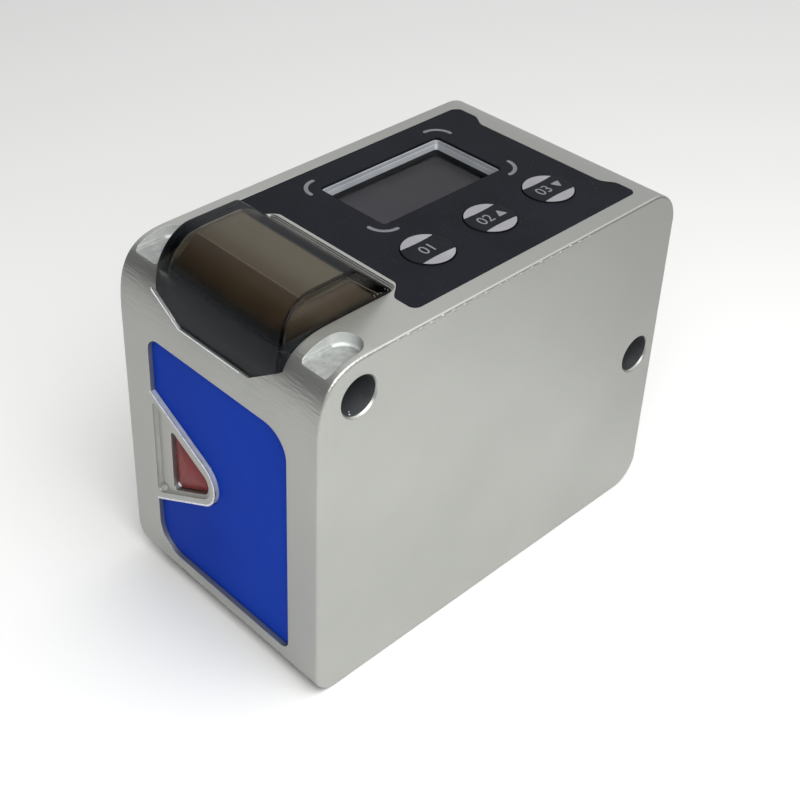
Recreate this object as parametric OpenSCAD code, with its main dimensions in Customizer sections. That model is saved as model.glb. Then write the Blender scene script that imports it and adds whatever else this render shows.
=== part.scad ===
// Compact laser distance sensor: a die-cast housing with a raised smoked indicator hood at its
// front top edge, a filmed receiver window with an emitter notch in the front face, and a
// control panel with a sunk display and three push buttons on top.
//
// The origin is the middle of the base. X is the width, Y the depth and Z the height, and the
// front face looks towards -Y. Profiles are drawn as distances from the front face.

/* [Housing] */
// Width of the housing, which is also the length of the mounting bores
body_w = 30; // [29.5:0.1:34]
// Depth of the housing, from the front face to the rear face
body_l = 51.3; // [51:0.1:60]
// Height of the housing, from the base to the top face
body_h = 40.3; // [40:0.1:48]
// Thickness of the top, base, rear and right walls
wall_t = 1.6; // [1.4:0.05:1.8]
// Thickness of the front wall
front_t = 2.4; // [2.3:0.05:2.8]
// Break along the edges of both side faces
edge_break = 0.3; // [0.1:0.05:0.6]
// Radius of the front bottom edge
foot_front_r = 2.7; // [1.8:0.1:3.2]
// Radius of the rear bottom edge
foot_rear_r = 3.4; // [2.2:0.1:4.5]
// Radius of the rear top edge
top_rear_r = 4.2; // [2.2:0.1:4.5]
// Radius of the left bottom edge, along the depth
foot_left_r = 5; // [2:0.1:5.5]
// Reach of the front top curve along the top face
brow_l = 7.65; // [6:0.05:9]
// Reach of the front top curve down the front face
brow_h = 9.5; // [7:0.1:11]
// Fullness of the front top curve, where 2 is an ellipse
brow_power = 3.5; // [2.5:0.1:4]

/* [Mounting bores] */
// Radius of the mounting bores, for M4 bolts
bore_r = 2.15; // [1.6:0.05:2.25]
// Chamfer at the mouth of each bore
bore_rim = 0.2; // [0.1:0.05:0.3]
// Outer radius of the metal around each bore
boss_r = 3.05; // [2.9:0.05:3.1]
// Front bore's distance from the front face
front_bore_in = 5; // [4.8:0.05:5.4]
// Front bore's distance below the top face
front_bore_drop = 4.25; // [4.1:0.05:4.6]
// Rear bore's distance from the rear face
rear_bore_in = 3.4; // [3.2:0.05:4]
// Rear bore's height above the base
rear_bore_up = 19.85; // [18:0.05:24]

/* [Driver slots] */
// Distance of each slot's middle from the side face
slot_in = 2.6; // [2.2:0.05:2.9]
// Half the width of each slot
slot_r = 1.8; // [1.4:0.05:1.9]
// Distance of each slot's round end from the front face
slot_end = 7.1; // [6:0.1:9]
// Depth of the slots below the top face
slot_depth = 1.3; // [0.8:0.05:1.4]
// Rounding between each slot's wall and floor
slot_fillet = 0.4; // [0.1:0.05:0.6]

/* [Indicator hood] */
// Width of the hood at its foot
hood_w = 18.4; // [17:0.1:18.8]
// Width of the hood's top, between its drafted sides
hood_top_w = 17.1; // [15.5:0.1:17.4]
// Distance from the front face to the hood's rear foot
hood_l = 14.55; // [14:0.05:15.5]
// Rise of the hood above the top face
hood_rise = 3.9; // [3.6:0.1:4.8]
// Length of the hood's sloping rear
hood_ramp = 4.3; // [3:0.1:5]
// Distance of the hood's face behind the housing's front face
hood_sink = 0.35; // [0.2:0.05:0.5]
// Reach of the hood's nose curve along its top
nose_l = 5.2; // [4:0.1:6]
// Reach of the hood's nose curve down its face
nose_h = 7.7; // [6:0.1:8.2]
// Fullness of the nose curve, where 2 is an ellipse
nose_power = 2.5; // [2.2:0.1:3]
// Rounding of the hood's side ridges
hood_edge_r = 0.9; // [0.5:0.05:1.2]
// Wall of the hood
hood_t = 1.1; // [0.9:0.05:1.2]
// Distance of the hood's chin below the top face
chin_drop = 5.2; // [4.8:0.1:5.8]
// Width of the chin's straight foot
chin_w = 10.4; // [8:0.1:13]
// Height of the chin's sloping corners
chin_h = 2.6; // [1.5:0.1:3.2]
// Depth of each fine step behind the hood
step_t = 0.25; // [0.1:0.05:0.35]
// Width of each fine step behind the hood
step_w = 0.3; // [0.2:0.05:0.35]

/* [Indicator] */
// Width of the pieces under the hood
indicator_w = 14.4; // [11:0.1:14.8]
// Sheet thickness of the black indicator frame
frame_t = 0.3; // [0.25:0.05:0.4]
// Thickness of the metal left under the hood's rear
roof_t = 1.7; // [1.2:0.1:2]
// Height of the light guide above its frame
guide_h = 3.3; // [2.5:0.1:3.4]
// Thickness of the indicator board
indicator_board_t = 0.9; // [0.8:0.05:1.1]
// Distance between the indicator lamps
lamp_pitch = 4.5; // [3:0.1:5]

/* [Front window] */
// Width of the front window
window_w = 21.2; // [19:0.1:22]
// Distance from the base to the window's lower edge
window_foot = 3.4; // [3:0.1:5]
// Distance from the top face to the window's upper edge
window_drop = 8.9; // [8.4:0.1:11]
// Distance of the pane behind the front face
window_sink = 0.5; // [0.2:0.05:0.6]
// Thickness of the pane
window_t = 1.2; // [0.8:0.05:1.4]
// Width of the ledge behind the pane
window_ledge = 0.9; // [0.6:0.05:1.1]
// Radius of the window's lower left corner
window_r_foot_left = 3.3; // [1.2:0.1:4]
// Radius of the window's lower right corner
window_r_foot_right = 1.2; // [1.1:0.1:4]
// Radius of the window's upper right corner
window_r_top_right = 3; // [1.2:0.1:4]
// Radius of the window's upper left corner
window_r_top_left = 1.8; // [1.2:0.1:4]

/* [Emitter notch] */
// Height of the optical axis above the base
axis_up = 17.05; // [16:0.05:20]
// Height of the notch where it leaves the window's left edge
notch_h = 14.5; // [13:0.1:16]
// Length of the notch to where its sloping edges would meet
notch_l = 13.4; // [12.6:0.1:14.5]
// Radius of the notch's tip
notch_tip_r = 3.05; // [2.6:0.05:3.4]
// Width of the raised rim round the notch
rim_w = 0.8; // [0.5:0.05:1]
// Depth of the notch's floor behind the front face
notch_floor = 0.45; // [0.3:0.05:0.6]
// Inset of the emitter window from the notch's edge
lens_inset = 1.65; // [1.4:0.05:1.9]
// Distance of the emitter window from the notch's left end
lens_left = 2.4; // [2:0.05:3]
// Distance of the emitter window below the middle of the notch
lens_low = 0.6; // [0:0.05:0.8]
// Distance of the emitter window behind the notch's floor
lens_sink = 0.6; // [0.4:0.05:0.65]
// Thickness of the emitter window
lens_t = 0.8; // [0.6:0.05:0.85]
// Width of the ledge behind the emitter window
lens_ledge = 0.5; // [0.3:0.05:0.6]
// Radius of the locating stud in the notch
stud_r = 0.45; // [0.3:0.05:0.5]

/* [Control panel] */
// Distance of the control panel from the left face
panel_left_in = 1.8; // [1.6:0.05:2.2]
// Distance of the control panel from the right face
panel_right_in = 2.2; // [1.6:0.05:2.4]
// Thickness of the panel, which lies flush in the top face
panel_t = 0.35; // [0.25:0.05:0.5]
// Width of the rib between the hood's steps and the panel
rib_w = 0.6; // [0.5:0.05:1]
// Distance from the panel's rear edge to the rear face
panel_rear = 4.6; // [4.2:0.1:6]
// Reach of the front ears beyond the panel's middle
front_ear = 1.9; // [1:0.05:2.1]
// Reach of the rear ears beyond the panel's middle
rear_ear = 1; // [0.5:0.05:1.5]
// Distance from the centre plane to where an ear begins
ear_start = 8.2; // [7.5:0.1:8.6]
// Length of an ear's S-shaped shoulder
ear_blend = 2.2; // [1.5:0.1:2.6]
// Radius of the panel's outer corners
panel_r = 0.9; // [0.5:0.05:1.2]

/* [Display] */
// Width of the display opening
screen_w = 9.7; // [8:0.1:10]
// Length of the display opening
screen_l = 17.5; // [14:0.1:18]
// Distance of the display opening from the left face
screen_left_in = 5.35; // [5.1:0.05:5.7]
// Distance of the opening behind the panel's front ears
screen_in = 8.45; // [8:0.05:10]
// Depth of the glass below the top face
screen_depth = 1.2; // [0.9:0.05:1.25]
// Thickness of the cover glass
glass_t = 0.8; // [0.6:0.05:0.9]
// Overlap of the glass behind the opening's edge
glass_lap = 0.9; // [0.6:0.05:1]
// Thickness of the display cell
cell_t = 1.4; // [1.1:0.05:1.6]

/* [Buttons] */
// Radius of the button caps
button_r = 2.75; // [2.2:0.05:2.8]
// Distance of the button row from the right face
button_right_in = 8.65; // [8.4:0.05:8.8]
// Distance of the first button behind the panel's front ears
button_in = 8.3; // [7.5:0.05:9]
// Distance between two buttons
button_pitch = 9; // [8:0.1:9.2]
// Rise of the caps above the panel
button_rise = 0.12; // [0.05:0.01:0.3]
// Travel of the buttons
button_travel = 0.4; // [0.2:0.05:0.5]
// Reach of the retaining collar beyond the cap
collar_w = 0.55; // [0.4:0.05:0.7]
// Thickness of the retaining collar
collar_t = 0.55; // [0.4:0.05:0.6]
// Radius of the stem that presses the switch
stem_r = 1.3; // [1:0.05:1.6]
// Side of a key switch
switch_w = 3.6; // [3:0.1:4]
// Height of a key switch
switch_h = 0.85; // [0.6:0.05:1]

/* [Side cover] */
// Thickness of the side cover
cover_t = 1.4; // [1.2:0.05:1.6]
// Thickness of the cover's seal
seal_t = 0.3; // [0.2:0.05:0.4]
// Thickness of the ledge that carries the cover
ledge_t = 1.5; // [1.2:0.05:1.6]
// Width of the ledge that carries the cover
ledge_w = 3.4; // [3.2:0.1:4]
// Distance from the front face to the cover
cover_front = 3.6; // [3:0.1:4.5]
// Distance from the cover to the rear bore's metal
cover_rear = 0.7; // [0.5:0.1:2]
// Distance from the base to the cover
cover_foot = 6.4; // [6:0.1:7.5]
// Distance from the cover to the front bore's metal
cover_top = 0.9; // [0.6:0.1:2]
// Radius of the cover's corners
cover_r = 2.2; // [1.5:0.1:3]

/* [Optics] */
// Distance of the emitter's axis from the centre plane
emitter_x = -5.3; // [-5.6:0.05:-5.1]
// Distance of the receiver's axis from the centre plane
receiver_x = 4.3; // [4.1:0.05:4.6]
// Radius of the receiver lens
receiver_r = 5.4; // [4.8:0.05:5.5]
// Thickness of the receiver lens at its middle
receiver_t = 3.4; // [2.6:0.1:3.8]
// Radius of the laser barrel
barrel_r = 2.9; // [2.7:0.05:3]
// Length of the laser barrel
barrel_l = 12.6; // [11:0.1:13]
// Radius of the collimator lens
collimator_r = 1.9; // [1.7:0.05:2]
// Thickness of the collimator lens
collimator_t = 1.7; // [1.4:0.05:2]
// Radius of the bore that the laser's light passes through
beam_r = 1.3; // [1:0.05:1.4]
// Radius of the laser diode's flange
diode_r = 2.35; // [2.2:0.05:2.5]
// Thickness of the laser diode's flange
diode_t = 1.3; // [1.1:0.05:1.4]
// Radius of the laser diode's can
diode_can_r = 1.75; // [1.5:0.05:1.9]
// Length of the laser diode's can
diode_can_l = 2.3; // [2:0.05:2.5]
// Distance of the laser diode's seat from the rear of the barrel
diode_in = 4.5; // [4.3:0.05:5]
// Radius of a laser diode's lead
lead_r = 0.23; // [0.2:0.01:0.3]
// Length of a laser diode's lead
lead_l = 5.1; // [4.6:0.1:6]
// Length of the emitter's part of the optics block
emitter_l = 13.6; // [13.2:0.1:15]
// Length of the receiver's part of the optics block
receiver_l = 21.6; // [20:0.1:22]
// Thickness of the walls round the optics
block_t = 1.2; // [1:0.05:1.3]

/* [Boards] */
// Thickness of the circuit boards
board_t = 1.2; // [0.8:0.1:1.2]
// Length of the main board
main_board_l = 16.4; // [14:0.1:16.6]
// Height left free between the main board and the panel board
main_board_drop = 2.3; // [1.8:0.1:7]
// Side of the processor chip
chip_w = 7; // [5:0.1:9]
// Height of the processor chip
chip_h = 1.2; // [0.8:0.1:1.6]
// Side of the power coil
coil_w = 4; // [3:0.1:4.4]
// Height of the power coil
coil_h = 2.6; // [2:0.1:3.2]
// Radius of the power capacitor
capacitor_r = 1.9; // [1.5:0.05:2.1]
// Height of the power capacitor
capacitor_h = 3.6; // [3:0.1:4.5]
// Length of the cable socket
socket_l = 8; // [6:0.1:8.4]
// Width of the cable socket
socket_w = 3.2; // [2.6:0.1:3.4]
// Height of the cable socket
socket_h = 4; // [3:0.1:4.5]
// Wall of the cable socket
socket_t = 0.8; // [0.5:0.05:1]
// Length of an indicator lamp
lamp_l = 3; // [2:0.1:3.4]
// Width of an indicator lamp
lamp_w = 1.5; // [1.2:0.1:2]
// Height of an indicator lamp
lamp_h = 0.7; // [0.5:0.05:0.9]
// Length of the main board's spacers
spacer_l = 1.8; // [1.4:0.1:2.2]
// Radius of the spacers
spacer_r = 1.4; // [1.2:0.05:1.6]

/* [Cable gland] */
// Height of the gland above the base
gland_up = 9.2; // [8:0.1:10.5]
// Radius of the gland's threaded neck
neck_r = 3.5; // [3:0.05:3.8]
// Radius of the gland's flange
flange_r = 5; // [4.6:0.05:5.4]
// Length of the gland behind the rear face
gland_l = 4.6; // [3:0.1:7]
// Radius of the opening for the cable
cable_r = 2.1; // [1.6:0.05:2.2]

/* [Screws and fits] */
// Shank radius of the small screws
screw_r = 0.6; // [0.5:0.05:0.65]
// Head radius of the small screws
head_r = 1.1; // [1:0.05:1.2]
// Head height of the small screws
head_h = 0.7; // [0.5:0.05:0.8]
// Gap round a piece that is glued or dropped into its seat
seat_gap = 0.05; // [0.03:0.01:0.1]
// Gap round a cap that slides in its hole
slide_gap = 0.09; // [0.05:0.01:0.1]

/* [Hidden] */
$fn = 20;

// Sides of the small screws and their holes
small_fn = 14;

// Small overrun that keeps a cut clear of the face it leaves
cut = 0.5;
front_y = -body_l / 2;
left_x = -body_w / 2;
right_x = body_w / 2;
ceiling_z = body_h - wall_t;
left_t = cover_t + seal_t + ledge_t;

slot_x = right_x - slot_in;
button_x = right_x - button_right_in;
panel_left = left_x + panel_left_in;
panel_right = right_x - panel_right_in;
screen_x = left_x + screen_left_in + screen_w / 2;

front_bore_z = body_h - front_bore_drop;
rear_bore_y = body_l - rear_bore_in;
bores = [[front_bore_in, front_bore_z], [rear_bore_y, rear_bore_up]];

// The bar of metal round the front bore carries the hood
hood_floor_z = front_bore_z + boss_r;
bar_back = front_bore_in + boss_r;
bar_front = front_bore_in - boss_r;
bar_foot_z = front_bore_z - boss_r;
roof_z = hood_floor_z - roof_t;
roof_back = hood_l + 1.6;
well_back = hood_l - hood_t - 0.1;
chin_z = body_h - chin_drop;
hood_top_z = body_h + hood_rise;
hood_knee_z = body_h + 0.1;
hood_inner = hood_w / 2 - hood_t - 0.1;
guide_z = hood_floor_z + frame_t;
lamp_y = (bar_back + well_back) / 2;
indicator_screws_xy = [[-indicator_w / 2 - 1.2, lamp_y], [indicator_w / 2 + 1.2, lamp_y]];

panel_front = hood_l + 2 * step_w + rib_w - front_ear;
panel_back = body_l - panel_rear;
screen_y = panel_front + screen_in + screen_l / 2;
screen_z = body_h - screen_depth;
glass_z = screen_z - glass_t;
cell_z = glass_z - cell_t;
holder_h = 0.9;
panel_board_z = cell_z - holder_h;
panel_board_front = roof_back + 0.8;
panel_board_back = panel_back - 1.6;
button_ys = [for (i = [0:2]) panel_front + button_in + button_pitch * i];
collar_gap = 0.1;
stem_gap = 0.03;

window_left = -window_w / 2;
window_top_z = body_h - window_drop;
block_front = front_t;
block_back = block_front + receiver_l;
emitter_back = block_front + emitter_l;
block_h = 2 * (receiver_r + block_t + 1.4);
block_foot_z = axis_up - block_h / 2;
block_top_z = axis_up + block_h / 2;
block_right = receiver_x + receiver_r + block_t;
block_left = emitter_x - barrel_r - block_t;
block_split = receiver_x - receiver_r - 0.3;
collimator_y = block_front + 0.8;
diode_y = block_front + barrel_l - diode_in;
lead_angles = [90, 210, 330];

main_board_x = right_x - wall_t - spacer_l;
main_board_foot = wall_t + 1.9;
main_board_h = panel_board_z - board_t - main_board_drop - main_board_foot;
main_board_front = block_back + board_t + 2.2;
board_inset = 1.9;
socket_up = board_inset + head_r + 0.4 - 0.9 + socket_w / 2;
main_screws = [for (u = [0, 1], v = [0, 1]) [
    main_board_front + board_inset + u * (main_board_l - 2 * board_inset),
    main_board_foot + board_inset + v * (main_board_h - 2 * board_inset)
]];
panel_screw_inset = 1.9;
gland_t = 0.6;
flange_t = 1.2;
nut_t = 2;
neck_l = wall_t + nut_t + 0.4;
panel_board_left = left_x + left_t + 0.5;
panel_board_right = right_x - wall_t - 0.5;
panel_screws_xy = [for (u = [0, 1], v = [0, 1]) [
    panel_board_left + panel_screw_inset + u * (panel_board_right - panel_board_left - 2 * panel_screw_inset),
    panel_board_front + panel_screw_inset + v * (panel_board_back - panel_board_front - 2 * panel_screw_inset)
]];
block_screw_inset = 1.5;
sensor_screws_xz = grown(
    box_points(block_split, block_foot_z, block_right, block_top_z), -block_screw_inset
);
laser_screws_xz = [for (z = [block_foot_z + block_screw_inset, block_top_z - block_screw_inset])
    [emitter_x, z]];
block_screw_l = 4;

// An extrusion along X of a profile given as distance from the front face and height
module along_x(x0, x1) {
    translate([x0, front_y, 0])
        rotate([90, 0, 90])
            linear_extrude(x1 - x0) children();
}

// An extrusion along Y, between two distances from the front face, of an X and Z profile
module along_y(y0, y1) {
    translate([0, front_y + y1, 0])
        rotate([90, 0, 0])
            linear_extrude(y1 - y0) children();
}

// An extrusion along Z of a plan given as X and distance from the front face
module along_z(z0, z1) {
    translate([0, front_y, z0])
        linear_extrude(z1 - z0) children();
}

// A turned piece whose axis runs straight back from the front face
module turned_back(x, y, z) {
    translate([x, front_y + y, z])
        rotate([-90, 0, 0]) children();
}

function arc(centre, r, from, to, steps = 8) =
    [for (i = [0:steps]) let (a = from + (to - from) * i / steps)
        centre + r * [cos(a), sin(a)]];

// A full quarter curve from the top face down to the front face
function quarter(corner, reach, fall, power, steps = 16) =
    [for (i = [0:steps]) let (a = 90 - 90 * i / steps) [
        corner[0] + reach * (1 - pow(cos(a), 2 / power)),
        corner[1] - fall * (1 - pow(sin(a), 2 / power))
    ]];

function around(points, i) = points[(i + len(points)) % len(points)];
function unit(v) = v / norm(v);
function outward(a, b) = let (e = unit(b - a)) [e[1], -e[0]];

// An outline whose every edge is moved outwards by the same distance
function grown(points, d) =
    [for (i = [0:len(points) - 1]) let (
        p = points[i],
        n1 = outward(around(points, i - 1), p),
        n2 = outward(p, around(points, i + 1))
    ) p + d * (n1 + n2) / (1 + n1 * n2)];

function short_way(a) = a > 180 ? a - 360 : (a < -180 ? a + 360 : a);

// An outline with a radius at each corner
function rounded(points, radii, steps = 5) =
    [for (i = [0:len(points) - 1]) let (
        p = points[i],
        r = radii[i],
        u = unit(around(points, i - 1) - p),
        v = unit(around(points, i + 1) - p),
        half = acos(u * v) / 2,
        centre = p + unit(u + v) * r / sin(half),
        start = p + u * r / tan(half) - centre,
        end = p + v * r / tan(half) - centre,
        a0 = atan2(start[1], start[0]),
        turn = short_way(atan2(end[1], end[0]) - a0)
    ) each (r > 0 ? arc(centre, r, a0, a0 + turn, steps) : [p])];

function box_points(x0, y0, x1, y1) = [[x0, y0], [x1, y0], [x1, y1], [x0, y1]];

function round_box(x0, y0, x1, y1, r) = rounded(box_points(x0, y0, x1, y1), [r, r, r, r], 3);

// Side view of the housing, drawn in by d
function body_outline(d) = concat(
    arc([foot_front_r, foot_front_r], foot_front_r - d, 180, 270),
    arc([body_l - foot_rear_r, foot_rear_r], foot_rear_r - d, 270, 360),
    arc([body_l - top_rear_r, body_h - top_rear_r], top_rear_r - d, 0, 90),
    quarter([d, body_h - d], brow_l - d, brow_h - d, brow_power)
);

// Side view of the room inside the housing
function room_outline() = concat(
    arc([front_t + 1, wall_t + 1], 1, 180, 270, 4),
    arc([body_l - foot_rear_r, foot_rear_r], foot_rear_r - wall_t, 270, 360, 6),
    arc([body_l - top_rear_r, body_h - top_rear_r], top_rear_r - wall_t, 0, 90, 6),
    [
        [roof_back, ceiling_z], [roof_back, roof_z], [bar_back, roof_z],
        [bar_back, bar_foot_z], [front_t, bar_foot_z]
    ]
);

function cover_outline(d) = let (
    points = grown(box_points(
        cover_front, cover_foot,
        rear_bore_y - boss_r - cover_rear, bar_foot_z - cover_top
    ), d)
) rounded(points, [for (i = [0:3]) max(cover_r + d, 0.4)]);

cover_screw_inset = ledge_w / 2;
cover_screws_yz = grown(box_points(
    cover_front, cover_foot,
    rear_bore_y - boss_r - cover_rear, bar_foot_z - cover_top
), -cover_screw_inset);

// Side view of the hood, drawn in by d
function hood_outline(d) = concat(
    [[hood_sink + d, chin_z], [hood_l - d, chin_z], [hood_l - d, hood_knee_z - d * 0.4]],
    [[hood_l - hood_ramp - d * 0.4, hood_top_z - d]],
    quarter([hood_sink + d, hood_top_z - d], nose_l - d, nose_h - d, nose_power)
);

// Half the hood's width at a height, with its drafted sides and rounded ridges, drawn in by d
function hood_half(z, d) = let (
    up = min(max(z - body_h, 0), hood_rise) / hood_rise,
    over = min(max(z - (hood_top_z - d - hood_edge_r), 0), hood_edge_r)
) hood_w / 2 - d - (hood_w - hood_top_w) / 2 * up - hood_edge_r + sqrt(hood_edge_r ^ 2 - over ^ 2);

// Distance of the hood's nose from the front face at a height, drawn in by d
function hood_nose(z, d) = let (
    s = min(max(1 - (hood_top_z - d - z) / (nose_h - d), 0), 1)
) hood_sink + d + (nose_l - d) * (1 - pow(1 - pow(s, nose_power), 1 / nose_power));

// Distance of the hood's rear from the front face at a height, drawn in by d
function hood_tail(z, d) = let (
    low = hood_knee_z - d * 0.4,
    t = min(max((z - low) / (hood_top_z - d - low), 0), 1)
) hood_l - d - t * (hood_ramp - d * 0.6);

// Front view of the hood's opening, drawn out by d
function chin_outline(d) = let (half = hood_w / 2) grown([
    [-chin_w / 2, chin_z], [chin_w / 2, chin_z], [half, chin_z + chin_h],
    [half, hood_top_z + 1], [-half, hood_top_z + 1], [-half, chin_z + chin_h]
], d);

function window_outline(d) = rounded(
    grown(box_points(window_left, window_foot, -window_left, window_top_z), d),
    [for (r = [window_r_foot_left, window_r_foot_right, window_r_top_right, window_r_top_left]) r + d]
);

// Front view of the notch from a given left end, drawn out by d
function notch_points(x0, d, z = axis_up) = let (
    tip_x = window_left + notch_l,
    half = notch_h / 2 * (tip_x - x0) / notch_l
) grown([[x0, z - half], [tip_x, z], [x0, z + half]], d);

function notch_outline(d) = rounded(notch_points(window_left - 1.5, d), [0, notch_tip_r + d, 0]);

function notch_floor_outline() =
    rounded(notch_points(window_left - rim_w, -rim_w), [0.5, notch_tip_r - rim_w, 0.5]);

function lens_outline(d) = rounded(
    grown(notch_points(window_left + lens_left - lens_inset, -lens_inset, axis_up - lens_low), d),
    [0.5, notch_tip_r - lens_inset + d, 0.5]
);

function ramp(t) = let (s = min(max(t, 0), 1)) s * s * (3 - 2 * s);

// Distance from an ear's tip line, along the panel's width
function ear(x, reach) = reach * ramp((ear_start + ear_blend - abs(x)) / ear_blend);

function panel_outline(d) = let (
    shoulder = [for (i = [0:8]) ear_start + ear_blend * i / 8],
    xs = concat([panel_left - d], [for (i = [8:-1:0]) -shoulder[i]], shoulder, [panel_right + d]),
    n = len(xs),
    front = [for (x = xs) [x, panel_front - d + ear(x, front_ear)]],
    back = [for (i = [n - 1:-1:0]) [xs[i], panel_back + d - ear(xs[i], rear_ear)]]
) rounded(
    concat(front, back),
    [for (i = [0:2 * n - 1]) (i == 0 || i == n - 1 || i == n || i == 2 * n - 1) ? panel_r : 0]
);

function screen_points(d) = round_box(
    screen_x - screen_w / 2 - d, screen_y - screen_l / 2 - d,
    screen_x + screen_w / 2 + d, screen_y + screen_l / 2 + d, 0.5
);

module screw_hole(gap = seat_gap) {
    circle(r = screw_r + gap, $fn = small_fn);
}

// A cap screw that points along +Z, its head below z = 0
module screw(length) {
    rotate_extrude($fn = small_fn) polygon([
        [0, -head_h], [head_r, -head_h], [head_r, 0],
        [screw_r, 0], [screw_r, length], [0, length]
    ]);
}

// Outer form of the housing, with broken side edges and a rounded left foot
module body_form() {
    difference() {
        hull() {
            for (k = [0, 0.3, 1])
                along_x(left_x + k * edge_break, right_x - k * edge_break)
                    polygon(body_outline(pow(1 - k, 2) * edge_break));
        }
        along_y(-1, body_l + 1) polygon(concat(
            [[left_x - 1, -1], [left_x + foot_left_r, -1]],
            arc([left_x + foot_left_r, foot_left_r], foot_left_r, 270, 180, 10),
            [[left_x - 1, foot_left_r]]
        ));
    }
}

// The room inside, less the metal round the rear bore, the spacers and the screw posts
module room() {
    difference() {
        along_x(left_x + left_t, right_x - wall_t) polygon(room_outline());
        along_x(left_x, right_x) translate(bores[1]) circle(r = boss_r);
        for (p = main_screws)
            along_x(main_board_x, right_x) translate(p) circle(r = spacer_r);
        for (p = panel_screws_xy)
            along_z(panel_board_z, body_h) translate(p) circle(r = spacer_r);
        for (x = [block_split + 1, block_right - 2])
            along_y(front_t + 1, block_back - 4)
                polygon(box_points(x, 0, x + block_t, block_foot_z));
    }
}

module mounting_bore(p) {
    along_x(left_x - cut, right_x + cut) translate(p) circle(r = bore_r);
    for (s = [-1, 1])
        translate([s * right_x, front_y + p[0], p[1]])
            rotate([0, -s * 90, 0])
                translate([0, 0, -cut])
                    cylinder(r1 = bore_r + bore_rim + cut, r2 = bore_r, h = bore_rim + cut);
}

// The seat that the hood drops into, with its chin, its well and the fine steps behind it
module hood_seat() {
    half = hood_w / 2 + seat_gap;
    back = hood_l + seat_gap;
    along_z(hood_floor_z, hood_top_z)
        polygon(rounded(box_points(-half, -1, half, back), [0, 0, hood_edge_r, hood_edge_r]));
    along_y(-1, bar_front) polygon(chin_outline(seat_gap));
    along_z(roof_z - cut, hood_top_z)
        polygon(box_points(-indicator_w / 2 - 0.2, bar_back, indicator_w / 2 + 0.2, well_back));
    for (i = [1, 2])
        along_z(body_h - step_t * (3 - i), hood_top_z)
            polygon(rounded(
                box_points(-half, hood_l / 2, half, back + step_w * i),
                [0, 0, hood_edge_r, hood_edge_r]
            ));
}

// Plan of a driver slot, drawn in by d
function slot_outline(d) = concat(
    [[slot_r - d, -1]],
    arc([0, slot_end - slot_r], slot_r - d, 0, 180, 14),
    [[d - slot_r, -1]]
);

// A driver slot whose wall runs into its floor in a quarter round
module driver_slot(side) {
    floor_z = body_h - slot_depth;
    translate([side * slot_x, 0, 0])
        hull() {
            for (a = [0:22.5:67.5])
                along_z(floor_z + slot_fillet * (1 - cos(a)), body_h)
                    polygon(slot_outline(slot_fillet * (1 - sin(a))));
            along_z(floor_z + slot_fillet, body_h + 1) polygon(slot_outline(0));
        }
}

module window_seat() {
    along_y(-1, window_sink + window_t)
        difference() {
            polygon(window_outline(seat_gap));
            polygon(notch_outline(0));
        }
    along_y(window_sink, front_t + cut)
        difference() {
            polygon(window_outline(-window_ledge));
            polygon(notch_outline(window_ledge));
        }
}

module emitter_seat() {
    along_y(-1, notch_floor) polygon(notch_floor_outline());
    along_y(-1, notch_floor + lens_sink + lens_t) polygon(lens_outline(seat_gap));
    along_y(0, front_t + cut) polygon(lens_outline(-lens_ledge));
}

module panel_seat() {
    along_z(body_h - panel_t, body_h + 1) polygon(panel_outline(seat_gap));
    along_z(ceiling_z - cut, body_h + 1) polygon(screen_points(0));
    along_z(ceiling_z - cut, screen_z) polygon(screen_points(glass_lap + seat_gap));
    for (y = button_ys)
        along_z(ceiling_z - cut, body_h + 1)
            translate([button_x, y]) circle(r = button_r + slide_gap);
}

module cover_seat() {
    along_x(left_x - 1, left_x + cover_t + seal_t) polygon(cover_outline(seat_gap));
    along_x(left_x - 1, left_x + left_t + cut) polygon(cover_outline(-ledge_w));
    for (p = cover_screws_yz)
        along_x(left_x, left_x + left_t + cut) translate(p) screw_hole();
}

module housing() {
    color("silver") {
        difference() {
            body_form();
            room();
            for (p = bores) mounting_bore(p);
            hood_seat();
            driver_slot(-1);
            driver_slot(1);
            window_seat();
            emitter_seat();
            panel_seat();
            cover_seat();
            for (p = main_screws)
                along_x(main_board_x - cut, right_x - wall_t)
                    translate(p) screw_hole();
            for (p = panel_screws_xy)
                along_z(panel_board_z - cut, ceiling_z)
                    translate(p) screw_hole();
            for (p = indicator_screws_xy)
                along_z(roof_z - cut, hood_floor_z - 0.3)
                    translate(p) screw_hole();
            turned_back(0, body_l - wall_t - 1, gland_up)
                cylinder(r = neck_r + seat_gap, h = wall_t + 2);
        }
        along_y(0.1, notch_floor + 0.1)
            translate([window_left + 0.75, axis_up - notch_h / 2 + 1.8]) circle(r = stud_r);
    }
}

module side_cover() {
    color("silver")
        difference() {
            along_x(left_x, left_x + cover_t) polygon(cover_outline(0));
            for (p = cover_screws_yz) {
                along_x(left_x - cut, left_x + cover_t + cut)
                    translate(p) screw_hole();
                along_x(left_x - cut, left_x + head_h)
                    translate(p) circle(r = head_r + seat_gap, $fn = small_fn);
            }
        }
}

module cover_seal() {
    color("dimgray")
        along_x(left_x + cover_t, left_x + cover_t + seal_t)
            difference() {
                polygon(cover_outline(-seat_gap));
                polygon(cover_outline(-ledge_w));
                for (p = cover_screws_yz)
                    translate(p) screw_hole(2 * seat_gap);
            }
}

module cover_screws() {
    color("gray")
        for (p = cover_screws_yz)
            translate([left_x + head_h, front_y + p[0], p[1]])
                rotate([0, 90, 0]) screw(left_t - head_h - 0.2);
}

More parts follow.
